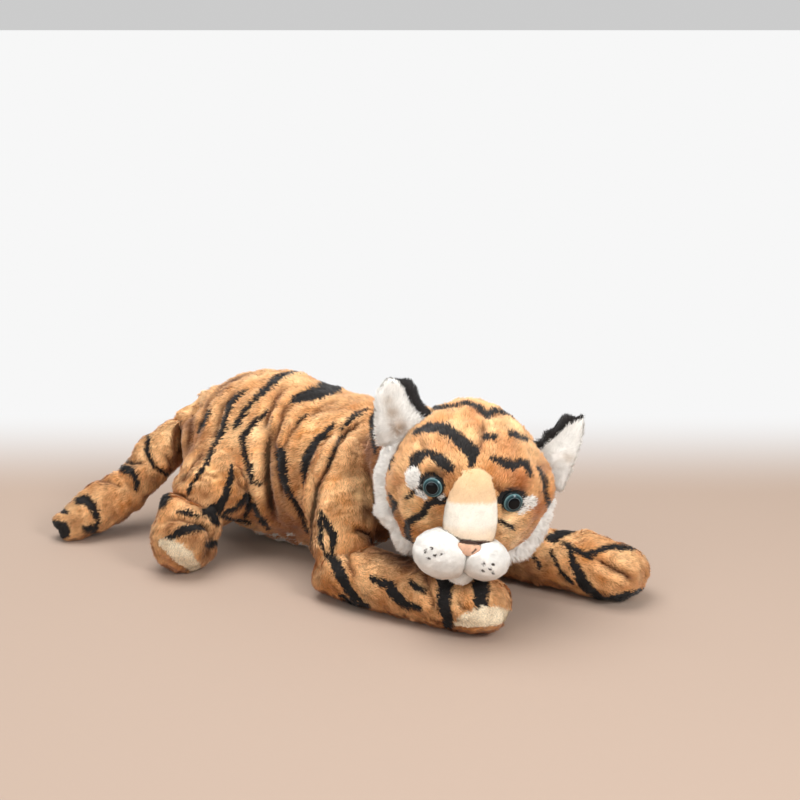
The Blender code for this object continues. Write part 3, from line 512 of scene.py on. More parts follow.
# Painted light and shade: patches of the body made paler where light falls and darker where shade falls, as (tone,
# reach, place), in the picture's pixels.
body_patches = [
    (0.5, 12, (274, 470)), (0.42, 14, (278, 498)), (0.45, 20, (290, 524)), (0.65, 10, (300, 475)),
    (0.66, 12, (276, 402)), (0.7, 14, (205, 430)), (0.45, 18, (377, 452)), (1.35, 9, (256, 450)),
    (1.3, 8, (256, 432)), (1.3, 16, (315, 432)), (1.2, 12, (290, 380)), (1.3, 9, (236, 440)),
    (1.12, 10, (352, 452)), (1.2, 9, (222, 425)), (0.86, 16, (352, 402)), (0.72, 13, (230, 394)),
    (0.55, 9, (188, 428)), (0.6, 9, (190, 450)), (0.68, 8, (207, 450)), (1.35, 9, (268, 406)),
    (1.3, 10, (315, 430)), (1.4, 12, (240, 468)), (1.35, 10, (241, 492)), (1.4, 7, (261, 468)),
    (1.4, 7, (262, 492)), (0.68, 9, (284, 448)), (0.66, 10, (306, 502)), (0.75, 10, (298, 530)),
    (0.5, 10, (367, 444)), (0.42, 10, (371, 470)), (0.3, 10, (370, 498)), (0.5, 12, (382, 530)),
    (0.75, 9, (339, 451)),
]


def grab(piece, pulls):
    """Pulls a skin about as a sculptor's grab brush does: (place, pull, reach), in the picture's pixels."""
    points, _ = skin_points(piece)
    right, up, back = camera_axes.T
    for place, pull, reach in pulls:
        weight = np.exp(-((np.linalg.norm(picture_place(points) - place, axis=1) / reach) ** 2))
        pixel = (camera_place - points) @ back / camera_scale
        points = points + (weight * pixel)[:, None] * (right * pull[0] - up * pull[1])
    set_skin_points(piece, points)


def press_folds(piece, folds):
    """Crumples a skin a little and pushes it in along fold lines of the picture, on the seen side."""
    points, normals = skin_points(piece)
    for half_width, gap, depths in along_folds(points, normals, folds):
        dip = np.exp(-((gap / half_width) ** 2))
        swell = 0.45 * np.exp(-(((gap - 2.6 * half_width) / (1.5 * half_width)) ** 2))
        points = points + normals * (depths * (swell - dip))[:, None]
    crumple = 0.0012 * ripple(points, 0.022, 17)[:, 0] + 0.0005 * ripple(points, 0.009, 18)[:, 0]
    set_skin_points(piece, points + normals * crumple[:, None])


grab(body, [((300, 377), (0, -4), 14.0), ((372, 401), (0, -4), 12.0), ((186, 396), (8, 14), 16.0),
            ((222, 378), (1, 5), 12.0)])
press_folds(body, body_folds)
paint_skin(body, PLUSH, body_tint)


def fit(piece, body_name, cloth, fill, *nodes):
    """Sews a stuffed piece to its body, in place of the solids that it stands for."""
    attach(piece, body_name)
    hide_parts(*nodes)


def covered(groups, depth):
    """A test for roots that lie this deep inside neighbouring solids, where no tuft would show."""
    trees = [solid_tree(*nodes) for nodes in groups]

    def test(points, normals):
        hidden = np.zeros(len(points), bool)
        for tree in trees:
            hidden |= gap_to(tree, points, 0.03) < -depth
        return hidden
    return test


body_hidden = covered((
    ("right_thigh", "right_hind_foot"), ("left_thigh", "left_hind_foot"),
    ("right_upper_foreleg",), ("left_upper_foreleg",), ("tail_root",), ("neck",),
), 0.004)
fit(body, "torso", "orange_plush", 0.85, "body_skin", "belly_panel", "body_stuffing")
for side_name, side_sign, seed in (("right", -1.0, 21), ("left", 1.0, 22)):
    coat = pile(
        body, body_tint, body_comb, 0.0052, seed=seed, name=f"body_pile_{side_name}", density=1.0e6,
        bare=lambda points, normals: (points @ body_left * side_sign < 0.0) | body_hidden(points, normals),
    )
    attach(coat, "torso")

# Neck. A short stuffed tube of plain orange plush, sewn into the chest, on which the head turns.
neck = stuffed_skin("neck_tube", ("neck",), ((joint_place["head_turn"], 0.0465),), 0.004, 4, 0.0)


def plain_orange(points, normals):
    return fur_tint(points, normals, 31)


paint_skin(neck, PLUSH, plain_orange)
pile(neck, plain_orange, straight_comb(np.array((0.3, -0.5, 0.6))), 0.0050, density=0.9e6, seed=32)
fit(neck, "neck", "orange_plush", 0.9, "neck")

# Limbs. Each is a tube of striped plush, sewn shut at the paw and closed into the body at its root,
# so it bends at the seam. The tan toe caps are let in before the tube is turned out and stuffed.
CREAM = np.array((1.00, 0.840, 0.600))


def nearest_on(points, line):
    """The places on a limb's middle line that lie nearest to points, and the line's way there."""
    best = np.full(len(points), 1e9)
    places, ways = np.zeros_like(points), np.zeros_like(points)
    for near, far in zip(line, line[1:]):
        run = far - near
        share = np.clip((points - near) @ run / (run @ run), 0.0, 1.0)
        gap = np.linalg.norm(points - near - share[:, None] * run, axis=1)
        nearer = gap < best
        best[nearer] = gap[nearer]
        places[nearer] = (near + share[:, None] * run)[nearer]
        ways[nearer] = run / np.linalg.norm(run)
    return places, ways


def to_seen_side(points, line):
    """Points of a limb's hidden side, mirrored through its middle line to the side in view."""
    middle, _ = nearest_on(points, line)
    toward = unit(camera_place - middle)
    depth = ((points - middle) * toward).sum(1)
    return points - 2.0 * np.minimum(depth, 0.0)[:, None] * toward


def along_comb(line, drop=0.25):
    """The nap of a limb runs down its middle line to the paw."""
    return lambda points, normals: nearest_on(points, line)[1] - np.array((0.0, 0.0, drop))


def box_middle(node):
    low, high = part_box(node)
    return np.array((low + high) / 2.0)


def limb_tint(line, stripes, seed, mirror=False, cap=None, paw=None, cap_lines=(), folds=(), patches=()):
    """A limb's colours: its stripes wrap round from the seen side, and its toe cap is cream."""
    cap_tree, paw_tree = (solid_tree(cap), solid_tree(paw)) if cap else (None, None)

    def tint(points, normals):
        seen = points
        if mirror:
            seen = points - 2.0 * (points @ body_left)[:, None] * body_left
        seen = to_seen_side(seen, line)
        colours = fur_tint(points, normals, seed, patches=patches, folds=folds)
        black = line_share(picture_place(seen), stripes, 0.7, seed + 1)
        colours[black] = plain_tint(points[black], BLACK, seed + 2, 0.25)
        if cap_lines:
            cream = line_share(picture_place(seen), cap_lines, 0.5, seed + 3)
            colours[cream] = plain_tint(points[cream], CREAM, seed + 4, 0.08)
        elif cap:
            spots = np.flatnonzero(np.linalg.norm(points - box_middle(cap), axis=1) < 0.06)
            edge = 0.0008 * ripple(points[spots], 0.006, seed + 3)[:, 0]
            own = spots[np.abs(gap_to(cap_tree, points[spots])) + edge < np.abs(gap_to(paw_tree, points[spots]))]
            colours[own] = plain_tint(points[own], CREAM, seed + 4, 0.08)
        return colours
    return tint


def limb(name, body_name, nodes, fillings, tint, comb, length, seed, folds=(), pulls=(), bare=None):
    """Makes, covers and fits one stuffed limb."""
    piece = stuffed_skin(name, nodes, fillings, 0.0023, 12)
    grab(piece, pulls)
    press_folds(piece, folds)
    paint_skin(piece, PLUSH, tint)

    def nap_length(points, normals):
        """Long plush, but short velour on the cream toe cap."""
        return np.where(tint(points, normals)[:, 2] > 0.4, 0.0020, length)

    pile(piece, tint, comb, nap_length, seed=seed, density=1.35e6, bare=bare)
    fit(piece, body_name, "orange_plush", 0.85, *nodes)


body_nodes = ("body_skin", "belly_panel")
in_body = covered((body_nodes,), 0.004)

# Tail. Two stuffed lengths of striped plush, sewn end to end, that come down from the rump.
tail_stripes = [
    ((8, 8), [(55, 527), (64, 529)]),
    ((2.2, 2.2), [(66, 510), (68, 511)]),
    ((3, 5, 4.6, 3.6, 2.6), [(80, 500), (87, 499), (93, 504), (97, 512), (99, 520)]),
    ((3.2, 3.2), [(88, 528), (96, 526)]),
    ((3, 3.2, 2.4, 1.6), [(125, 468), (133, 470), (138, 478), (137, 487)]),
    ((0.9, 0.9), [(126, 457), (130, 462), (140, 462)]),
    ((1.4, 1.8, 2, 1.2), [(151, 437), (148, 450), (155, 465), (166, 472)]),
    ((3.4, 1.8, 1), [(185, 423), (184, 433), (187, 446)]),
    ((1, 1.2), [(190, 408), (188, 417)]),
]
tail_folds = [
    (0.0036, 2.5, [(147, 440), (148, 455), (156, 467), (170, 474)]),
    (0.003, 2.5, [(165, 450), (170, 463), (172, 474)]),
    (0.0034, 3, [(122, 455), (132, 463), (148, 462)]),
    (0.003, 3, [(98, 482), (112, 482), (124, 488)]),
    (0.003, 3, [(84, 494), (94, 504), (97, 522)]),
]
tail_pulls = [
    ((150, 418), (6, 6), 16), ((174, 398), (12, 18), 17), ((200, 388), (2, 14), 14), ((125, 455), (4, 3), 14),
    ((60, 520), (-4, 0), 10), ((112, 480), (0, -6), 17), ((86, 494), (0, -5), 14),
]
tail_line = [
    joint_place["tail_root_swing"], joint_place["tail_bend"],
    box_middle("tail_end") * np.array((1.0, 1.0, 0.9)), 2.0 * box_middle("tail_end") - joint_place["tail_bend"],
]
# Painted light and shade on the tail: (tone, reach, place), in the picture's pixels.
tail_patches = [
    (0.55, 12, (183, 458)), (1.15, 12, (165, 438)), (0.7, 9, (76, 523)), (1.12, 10, (122, 478)),
    (0.75, 9, (155, 478)), (0.75, 9, (112, 510)), (1.4, 8, (172, 437)), (1.2, 7, (160, 466)),
    (0.8, 14, (110, 492)), (0.8, 10, (140, 472)),
]
tail_tint = limb_tint(tail_line, tail_stripes, 41, folds=tail_folds, patches=tail_patches)
limb("tail_upper", "tail_root", ("tail_root",), ((joint_place["tail_root_swing"], 0.0235),
     (joint_place["tail_bend"], 0.0195)), tail_tint, along_comb(tail_line), 0.0050, 42, tail_folds,
     tail_pulls, in_body)
limb("tail_lower", "tail_end", ("tail_end",), ((joint_place["tail_bend"], 0.0195),), tail_tint,
     along_comb(tail_line), 0.0050, 43, tail_folds, tail_pulls)

# Hind legs. The near one shows thigh, hock and the foot with its tan toe cap; the other is its
# mirror image on the far side.
thigh_folds = [
    (0.004, 3, [(222, 440), (207, 449), (196, 461), (184, 480), (173, 487)]),
    (0.0044, 3, [(171, 492), (186, 497), (202, 505), (211, 510)]),
    (0.003, 2.5, [(190, 484), (198, 478), (212, 482)]),
    (0.0026, 2.5, [(196, 466), (206, 474), (220, 478)]),
    (0.0034, 3, [(236, 470), (240, 484), (250, 492)]),
    (0.004, 3.5, [(168, 520), (180, 518), (194, 521), (212, 530)]),
    (0.003, 3, [(205, 520), (210, 540), (205, 560)]),
]
# Painted light and shade on the hind legs: (tone, reach, place), in the picture's pixels.
thigh_patches = [
    (1.28, 12, (205, 470)), (1.2, 10, (215, 490)), (1.25, 9, (240, 475)), (1.25, 9, (180, 480)),
    (0.5, 11, (194, 536)), (0.55, 10, (210, 552)), (0.7, 8, (175, 527)), (0.6, 9, (222, 505)),
    (0.62, 12, (200, 500)), (1.25, 8, (166, 507)), (1.25, 8, (180, 514)), (1.3, 6, (187, 531)),
    (1.15, 9, (190, 470)), (0.75, 8, (206, 492)), (0.6, 8, (190, 453)), (0.7, 7, (206, 447)),
]
hind_cap_lines = [((5, 9, 9.5, 6), [(164, 542), (175, 548), (187, 557), (196, 566)])]
near_line = [joint_place["right_hip"], box_middle("right_hind_foot"), box_middle("right_hind_toe_cap")]
for side_name, mirror, seed in (("right", False, 51), ("left", True, 56)):
    hip = joint_place[f"{side_name}_hip"]
    own_line = [hip, box_middle(f"{side_name}_hind_foot"), box_middle(f"{side_name}_hind_toe_cap")]
    tint = limb_tint(
        near_line, side_stripes, seed, mirror,
        cap_lines=hind_cap_lines, folds=thigh_folds, patches=thigh_patches,
    )
    limb(
        f"hind_leg_{side_name}", f"{side_name}_hind_leg",
        (f"{side_name}_thigh", f"{side_name}_hind_foot", f"{side_name}_hind_toe_cap"),
        ((hip, 0.0385),), tint, along_comb(own_line, 0.35), 0.0052, seed + 1, thigh_folds,
        [((172, 467), (5, 5), 10.0), ((222, 540), (-5, 0), 14.0), ((165, 503), (-4, -12), 11.0)], in_body,
    )

# Forelegs. The near one goes down from the shoulder and turns at the elbow to lie before the chest
# with the chin on it; the far one is stretched out along the floor.
near_upper_stripes = [
    ((1.5, 3.6, 3.4, 1.4), [(321, 511), (327, 522), (334, 534), (332, 550)]),
    ((1.8, 1.4, 1.4), [(321, 518), (321, 540), (325, 553)]),
    ((2.5, 5, 4.6, 3.4, 3), [(328, 552), (334, 562), (340, 575), (347, 588), (358, 600)]),
]
near_fore_stripes = [
    ((2.5, 5, 4.6, 3.4, 2.4), [(328, 552), (334, 562), (340, 575), (347, 588), (360, 601)]),
    ((2, 2.5, 2.5), [(340, 594), (352, 601), (366, 604)]),
    ((2, 3.4, 4.6, 4.8, 3.2, 2), [(370, 577), (379, 582), (388, 585), (394, 594), (403, 602), (418, 607)]),
    ((1.6, 2.6, 1.6), [(410, 582), (416, 587), (423, 591)]),
    ((9, 6.5, 5, 5), [(445, 578), (443, 592), (443, 606), (447, 622)]),
    ((7.8, 7.8, 5), [(479, 578), (479, 594), (480, 607)]),
]
fore_cap_lines = [((3, 8, 10.5, 9.5, 6), [(456, 622), (468, 619), (484, 616), (500, 615), (511, 614)])]
far_stripes = [
    ((5.2, 2.8, 1.8, 1), [(551, 538), (562, 533), (575, 529), (590, 528)]),
    ((1.8, 2.2, 1.5), [(562, 544), (576, 551), (589, 557)]),
    ((2.4, 2.2, 2.4, 1.2), [(585, 555), (598, 550), (613, 547), (630, 549)]),
    ((1.4, 3.4, 5.4, 3.6, 3, 3.6, 3),
     [(567, 548), (573, 565), (580, 579), (592, 592), (607, 598), (624, 595), (640, 591)]),
    ((1.2, 1.4, 1), [(549, 550), (558, 568), (571, 582)]),
    ((1.2, 1.2), [(533, 557), (538, 566)]),
]
near_folds = [
    (0.006, 4, [(345, 430), (330, 462), (318, 486), (312, 520), (310, 545), (318, 575)]),
    (0.005, 4, [(353, 527), (367, 532), (374, 545)]),
    (0.0034, 3, [(346, 552), (348, 565), (354, 578)]),
    (0.0034, 3, [(424, 572), (428, 590), (434, 612)]),
    (0.003, 3, [(456, 600), (462, 608), (470, 610)]),
]
# Painted light and shade on the near foreleg, with the head's painted shadow on the forearm: (tone, reach, place), in
# the picture's pixels.
near_patches = [
    (1.3, 16, (340, 490)), (1.2, 10, (345, 545)), (0.45, 13, (370, 545)), (0.34, 18, (395, 552)),
    (0.36, 16, (425, 564)), (0.42, 16, (376, 465)), (1.25, 9, (372, 570)), (0.86, 9, (462, 588)),
    (0.75, 10, (497, 590)), (1.1, 8, (455, 602)), (0.8, 12, (400, 600)), (0.32, 10, (369, 510)),
    (0.34, 12, (390, 548)), (0.32, 13, (408, 561)), (0.34, 12, (430, 573)), (1.25, 8, (338, 534)),
    (1.35, 6, (318, 540)), (1.15, 10, (340, 492)), (0.7, 10, (392, 586)), (1.2, 9, (352, 520)),
]
far_folds = [(0.005, 3.5, [(592, 559), (607, 565), (622, 574), (631, 581)])]
# Painted light and shade on the far foreleg, with the head's painted shadow near the paw: (tone, reach, place), in the
# picture's pixels.
far_patches = [
    (0.6, 18, (528, 565)), (0.72, 11, (630, 577)), (1.08, 12, (600, 575)), (1.1, 9, (580, 540)),
    (0.65, 9, (526, 560)), (1.25, 11, (577, 556)),
]
for side_name, upper_stripes, fore_stripes, cap_lines, folds, patches, upper_pulls, fore_pulls, seed in (
    ("right", near_upper_stripes, near_fore_stripes, fore_cap_lines, near_folds, near_patches,
     [((306, 530), (8, 0), 18.0), ((316, 560), (5, 1), 14.0)], [((316, 562), (5, 1), 14.0)], 61),
    ("left", far_stripes, far_stripes, (), far_folds, far_patches, (), [((588, 536), (0, -6), 14.0)], 66),
):
    shoulder, elbow = joint_place[f"{side_name}_shoulder"], joint_place[f"{side_name}_elbow"]
    cap, paw = f"{side_name}_fore_toe_cap", f"{side_name}_forearm"
    paw_place = box_middle(cap)
    paw_place[2] = elbow[2]
    upper_line = [shoulder, elbow]
    fore_line = [elbow, paw_place]
    limb(
        f"foreleg_{side_name}", f"{side_name}_foreleg", (f"{side_name}_upper_foreleg",),
        ((shoulder, 0.0305), (elbow, 0.0250)),
        limb_tint(upper_line, upper_stripes, seed, folds=folds, patches=patches),
        along_comb(upper_line), 0.0052, seed + 1, folds, upper_pulls, in_body,
    )
    limb(
        f"forearm_{side_name}", f"{side_name}_forearm", (paw, cap), ((elbow, 0.0250),),
        limb_tint(fore_line, fore_stripes, seed + 2, False, cap, paw, cap_lines, folds, patches),
        along_comb(fore_line), 0.0052, seed + 3, folds, fore_pulls,
    )

# Head. Orange striped plush over skull, brow and cheeks, sewn round the nose bridge, with white
# patches beside the eyes, and packed hard with filling.
eye_middles = [box_middle("eye_right"), box_middle("eye_left")]
head_right = (eye_middles[1] - eye_middles[0]) / np.linalg.norm(eye_middles[1] - eye_middles[0])
head_back = np.array((0.0, 1.0, 0.0))
head_up = np.cross(head_right, head_back)
brow_middle = (eye_middles[0] + eye_middles[1]) / 2.0
nose_middle = box_middle("nose")
head_stripes = [
    ((0.8, 4.2, 5, 5.6, 6.8, 2.5), [(414, 436), (430, 430), (446, 431), (459, 442), (473, 456), (472, 467)]),
    ((1.6, 3.4, 4.3, 3.4, 3.4, 1.8), [(490, 460), (503, 465), (511, 468), (519, 464), (525, 467), (529, 477)]),
    ((3.6, 5.4, 3.4), [(414, 470), (418, 461), (427, 455)]),
    ((3, 5, 3.8), [(432, 456), (444, 464), (451, 470)]),
    ((1.2, 1.6, 1.4, 1.6, 2.6), [(428, 411), (453, 409), (467, 406), (478, 410), (487, 418)]),
    ((2.6, 1.8, 1.6, 1.2, 1), [(487, 419), (493, 413), (510, 416), (525, 425), (536, 438)]),
    ((3, 3), [(486, 440), (493, 439)]),
    ((2.6, 1.4), [(509, 436), (526, 442)]),
    ((1.2, 1.8, 1.8, 2.2), [(537, 470), (543, 484), (543, 495), (547, 510)]),
    ((1, 1.4), [(394, 459), (391, 470)]),
    ((1.4, 1.8, 1.4), [(393, 496), (397, 506), (395, 516)]),
    ((1.2, 1.8), [(408, 498), (417, 493)]),
    ((4.4, 2.8, 2.8, 3.2, 3, 2), [(443, 500), (430, 505), (423, 515), (411, 522), (410, 534), (414, 542)]),
    ((1, 1.8, 1.2), [(496, 520), (505, 524), (512, 528)]),
    ((2.4, 2.4), [(496, 501), (503, 504)]),
]
eye_rims = [((10.4, 10.8), [(429, 486), (434, 486)]), ((10, 10), [(508, 500), (515, 501)])]
eye_whites = [
    ((6, 7, 6), [(414, 475), (414, 480), (415, 485)]), ((4.6, 5.2), [(526, 502), (529, 502)]),
    ((2.2, 2), [(519, 512), (524, 508)]), ((1.8, 1.4), [(420, 494), (427, 499)]),
    ((1.6, 1.6), [(441, 497), (443, 497)]),
]
head_folds = [
    (0.003, 2.5, [(428, 411), (453, 409), (467, 406), (487, 419), (510, 416), (536, 438)]),
    (0.0034, 4, [(484, 424), (482, 440), (478, 456)]),
    (0.0036, 4, [(492, 486), (500, 493), (514, 492), (526, 490)]),
    (0.003, 4, [(446, 482), (438, 474), (424, 474)]),
    (0.0018, 3, [(420, 440), (426, 452), (430, 462)]),
    (0.0016, 3, [(394, 500), (402, 520), (410, 534)]),
]
# Painted light and shade on the face and skull: (tone, reach, place), in the picture's pixels.
head_patches = [
    (0.66, 13, (520, 484)), (0.68, 12, (440, 447)), (0.7, 9, (476, 424)), (0.68, 12, (505, 478)),
    (0.68, 11, (507, 450)), (0.66, 8, (446, 475)), (0.66, 11, (534, 508)), (0.72, 9, (400, 482)),
    (1.15, 10, (510, 514)), (1.1, 10, (505, 428)), (1.08, 12, (445, 420)), (1.12, 10, (515, 540)),
    (1.15, 9, (415, 512)), (1.15, 8, (428, 522)), (0.75, 9, (398, 540)), (0.62, 8, (540, 470)),
    (0.88, 16, (470, 410)), (0.7, 9, (457, 449)), (0.7, 9, (481, 450)), (0.74, 8, (491, 441)),
    (1.35, 9, (413, 500)), (1.3, 9, (426, 516)), (1.25, 8, (408, 514)), (1.3, 10, (505, 519)),
    (1.3, 9, (508, 537)), (1.15, 8, (531, 541)), (1.2, 7, (437, 474)), (1.2, 7, (513, 487)),
]


def head_tint(points, normals):
    """The face as the photograph has it in front; behind the ears, rings of stripes round the skull."""
    colours = fur_tint(points, normals, 71, 0.48, head_patches, head_folds, (0.8, 1.5, 2.2))
    places, front = picture_place(points), facing_share(points, normals) > 0.0
    white = line_share(places, eye_whites, 0.6, 72) & front
    colours[white] = plain_tint(points[white], WHITE, 73)
    black = (line_share(places, head_stripes, 0.7, 74) | line_share(places, eye_rims, 0.5, 75)) & front & ~white
    local = points - brow_middle
    around = np.arctan2(local @ head_right, local @ head_up - 0.01)
    rings = (local @ head_back) / 0.024 + 0.35 * np.sin(around * 5.0) + 0.2 * ripple(points, 0.03, 76)[:, 0]
    behind = (np.abs(rings % 1.0 - 0.5) < 0.14) & (np.abs(around) < 2.3) & ~front & (normals[:, 1] > 0.25)
    behind &= np.sin(around * 3.0 + np.floor(rings) * 2.1) > -0.35
    black |= behind
    colours[black] = plain_tint(points[black], BLACK, 77, 0.25)
    return colours


def outward_comb(middle, bend=0.0):
    """The nap runs out from a middle, bent a little one way."""
    return lambda points, normals: unit(points - middle) + bend


def face_length(points, normals):
    """Short on the face, longer towards cheeks and skull."""
    away = np.linalg.norm(points - (nose_middle + brow_middle) / 2.0, axis=1)
    return np.interp(away, (0.015, 0.045, 0.10), (0.0028, 0.0044, 0.0060))


head = stuffed_skin("head", ("head_skin", "head_stuffing"), (), 0.0026, 6)
grab(head, [((546, 488), (9, 1), 26.0), ((388, 480), (-4, 0), 22.0), ((470, 403), (0, -3), 30.0)])
points, normals = skin_points(head)
for eye_middle in eye_middles:
    # The face is drawn in round each eye, where the shank pulls on its washer.
    gap = np.linalg.norm((points - eye_middle) @ np.stack([head_right, head_up], axis=1), axis=1)
    ahead = points[:, 1] < brow_middle[1] + 0.03
    points = points + head_back * (0.0035 * ahead * np.exp(-((gap / 0.012) ** 2)))[:, None]
set_skin_points(head, points)
press_folds(head, head_folds)
paint_skin(head, PLUSH, head_tint)
head_hidden = covered((
    ("neck",), ("nose_bridge",), ("muzzle_pad_right",), ("muzzle_pad_left",), body_nodes,
), 0.002)
fit(head, "head", "orange_plush", 0.95, "head_skin", "head_stuffing")
# The nap runs from the nose out over the face and back over the skull.
head_coat = pile(head, head_tint, outward_comb(nose_middle - head_back * 0.02), face_length, width=0.00056,
                 density=1.35e6, tufting=0.28, seed=78, bare=head_hidden, name="head_pile")
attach(head_coat, "head")

# Cheek ruffs, muzzle pads and chin. Long white plush for the ruffs and the tuft under the chin, and
# short white plush for the two pads, on which the whiskers' roots are printed as dark dots.
whisker_dots = [
    ((1.1, 1.1), [(x - 0.4, y), (x + 0.4, y)]) for x, y in (
        (433, 548), (426, 551), (436, 555), (443, 554), (430, 558),
        (483, 563), (492, 564), (489, 568), (482, 570), (492, 572),
    )
]
muzzle_white = WHITE * (1.04, 1.06, 1.08)


def white_tint(points, normals):
    return plain_tint(points, muzzle_white, 81, 0.04)


pad_middle_height = (box_middle("muzzle_pad_right")[2] + box_middle("muzzle_pad_left")[2]) / 2.0


def pad_tint(points, normals):
    colours = plain_tint(points, muzzle_white, 82, 0.03)
    # Painted shade: the pads are darker and warmer towards their lower sides.
    low = np.clip((pad_middle_height - points[:, 2]) / 0.018, 0.0, 1.0)[:, None]
    colours = colours * (1.0 - low * (0.03, 0.09, 0.13))
    dots = line_share(picture_place(points), whisker_dots, 0.2, 83) & (normals[:, 1] < 0.0)
    colours[dots] = plain_tint(points[dots], (0.06, 0.04, 0.03), 84)
    return colours


ruff_comb = outward_comb((brow_middle + nose_middle) / 2.0, head_back * 0.3 - np.array((0.0, 0.0, 0.45)))
pad_comb = outward_comb(nose_middle)
WHITE_PLUSH = plush_finish("white_plush", 120.0)
ruff_pulls = [((369, 497), (6, 0), 17), ((381, 537), (8, -5), 16), ((371, 465), (2, 0), 12)]
for name, node, tint, comb, length, density, cell, pulls in (
    ("ruff_right", "cheek_ruff_right", white_tint, ruff_comb, 0.0090, 1.4e6, 0.0028, ruff_pulls),
    ("ruff_left", "cheek_ruff_left", white_tint, ruff_comb, 0.0090, 1.4e6, 0.0028, ()),
    ("pad_right", "muzzle_pad_right", pad_tint, pad_comb, 0.0026, 3.4e6, 0.0020, ()),
    ("pad_left", "muzzle_pad_left", pad_tint, pad_comb, 0.0026, 3.4e6, 0.0020, ()),
    ("chin_tuft", "chin", white_tint, ruff_comb, 0.0045, 1.8e6, 0.0022, ()),
):
    piece = stuffed_skin(name, (node,), (), cell, 4)
    grab(piece, pulls)
    paint_skin(piece, WHITE_PLUSH, tint, 1.0)
    pile(piece, tint, comb, length, width=0.00045 if length > 0.004 else 0.00036, density=density, lift=0.36,
         tufting=0.45, seed=85, root_shade=1.0)
    fit(piece, "head", "white_plush", 0.8, node)

# Nose bridge. Short cream plush from the brow to the nose, tan above, nearly white at its middle,
# edged below with the nose's dark stitching.
nose_lines = [
    ((1, 1.4, 1.6, 1.8, 1.6), [(446, 532), (452, 537), (460, 541), (474, 543), (488, 543)]),
    ((0.6, 0.6), [(455, 546), (458, 552)]), ((0.6, 0.6), [(472, 553), (476, 549)]),
]
bridge_low, bridge_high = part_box("nose_bridge")


def bridge_tint(points, normals):
    share = (points[:, 2] - bridge_low.z) / (bridge_high.z - bridge_low.z)
    share = share + 0.008 * ripple(points, 0.008, 92)[:, 0]
    tan = np.interp(share, (0.0, 0.08, 0.24, 0.32, 0.55, 0.60, 1.0), (0.9, 0.6, 0.35, 0.02, 0.0, 0.85, 1.0))[:, None]
    pale, warm = np.array((0.92, 0.86, 0.76)), np.array((0.83, 0.560, 0.300))
    colours = (pale * (1.0 - tan) + warm * tan) * plain_tint(points, (1.0, 1.0, 1.0), 91, 0.05)
    colours[line_share(picture_place(points), nose_lines, 0.2, 93)] = (0.070, 0.030, 0.020)
    return colours


bridge = stuffed_skin("bridge", ("nose_bridge",), (), 0.0020, 4)
paint_skin(bridge, WHITE_PLUSH, bridge_tint, 0.95)
pile(bridge, bridge_tint, straight_comb(head_up), 0.0018, width=0.00034, density=4.0e6, lift=0.3, tufting=0.10,
     seed=92, root_shade=0.92)
fit(bridge, "head", "cream_plush", 0.9, "nose_bridge")

# Nose. A triangle of peach velour with a dark upper edge, sewn on under the bridge.


def nose_tint(points, normals):
    colours = plain_tint(points, (0.92, 0.58, 0.40), 95, 0.04)
    dark = line_share(picture_place(points), nose_lines, 0.1, 96)
    colours[dark] = (0.055, 0.026, 0.018)
    return colours


nose = stuffed_skin("nose_patch", ("nose",), (), 0.0011, 5, 0.0)
paint_skin(nose, plush_finish("nose_velour", 400.0), nose_tint, 1.0)
pile(nose, nose_tint, straight_comb(-head_up), 0.0010, width=0.00035, density=6.0e6, tufting=0.1, seed=97)
fit(nose, "head", "nose_thread", 0.9, "nose")

# Ears. A flap of two layers sewn along the rim: striped plush with a black fringe behind, and long
# white plush before, closed into the skull seam with a soft cup in it.
ear_fringes = {
    "right": [((6, 7, 7, 5), [(403, 378), (411, 389), (416, 401), (424, 413)])],
    "left": [((3, 4.4, 5.4, 5), [(580, 417), (566, 421), (553, 431), (541, 443)]),
             ((9, 9), [(578, 404), (530, 428)])],
}
# Painted shade in the right ear's inner fold, and a darker line along the left ear's seam: (tone, reach, place), in the
# picture's pixels.
ear_shades = [(0.46, 7, (399, 427)), (0.6, 6, (393, 414)), (0.78, 5, (388, 403)), (0.78, 5, (566, 458))]
ear_pulls = {
    "right": [((428, 395), (-5, 3), 14), ((398, 374), (-3, 8), 12), ((378, 400), (-4, 0), 14),
              ((380, 432), (-3, 12), 14)],
    "left": [((532, 428), (9, 12), 10), ((548, 414), (5, 14), 16), ((573, 404), (2, 12), 12),
             ((562, 466), (-3, 24), 12)],
}
for side_name in ("right", "left"):
    nodes = (f"ear_shell_{side_name}", f"ear_lining_{side_name}")
    ear = stuffed_skin(f"ear_{side_name}", nodes, (), 0.0022, 5)
    points, normals = skin_points(ear)
    middle = points.mean(0)
    across = (points - middle) @ head_right
    points = points - head_back * (0.010 * np.clip((across / 0.022) ** 2, 0.0, 1.3) - 0.003)[:, None]
    set_skin_points(ear, points)
    grab(ear, ear_pulls[side_name])
    ear_middle = skin_points(ear)[0].mean(0)
    fringes = ear_fringes[side_name]

    def ear_tint(points, normals, fringes=fringes):
        colours = plain_tint(points, WHITE * (1.05, 1.07, 1.09), 101, 0.03)
        back = normals[:, 1] > 0.7
        colours[back] = fur_tint(points[back], normals[back], 102)
        colours = paint_light_and_shade(colours, points, normals, ear_shades)
        black = line_share(picture_place(points), fringes, 0.8, 103)
        black |= back & (((points - ear_middle) @ head_up) > 0.004)
        colours[black] = plain_tint(points[black], BLACK * 1.2, 104, 0.3)
        return colours

    def ear_length(points, normals):
        return np.where(normals[:, 1] > 0.1, 0.0060, 0.0056)

    paint_skin(ear, WHITE_PLUSH, ear_tint, 0.95)
    ear_comb = outward_comb(ear_middle - head_up * 0.012, head_up * 0.4)
    pile(ear, ear_tint, ear_comb, ear_length, width=0.00042, density=2.0e6, lift=0.35, seed=105, root_shade=0.9)
    fit(ear, "head", "white_plush", 0.7, *nodes)

# Eyes. A glossy plastic dome with a blue-green iris moulded under it, on a shank that passes through
# the face skin into a lock washer.


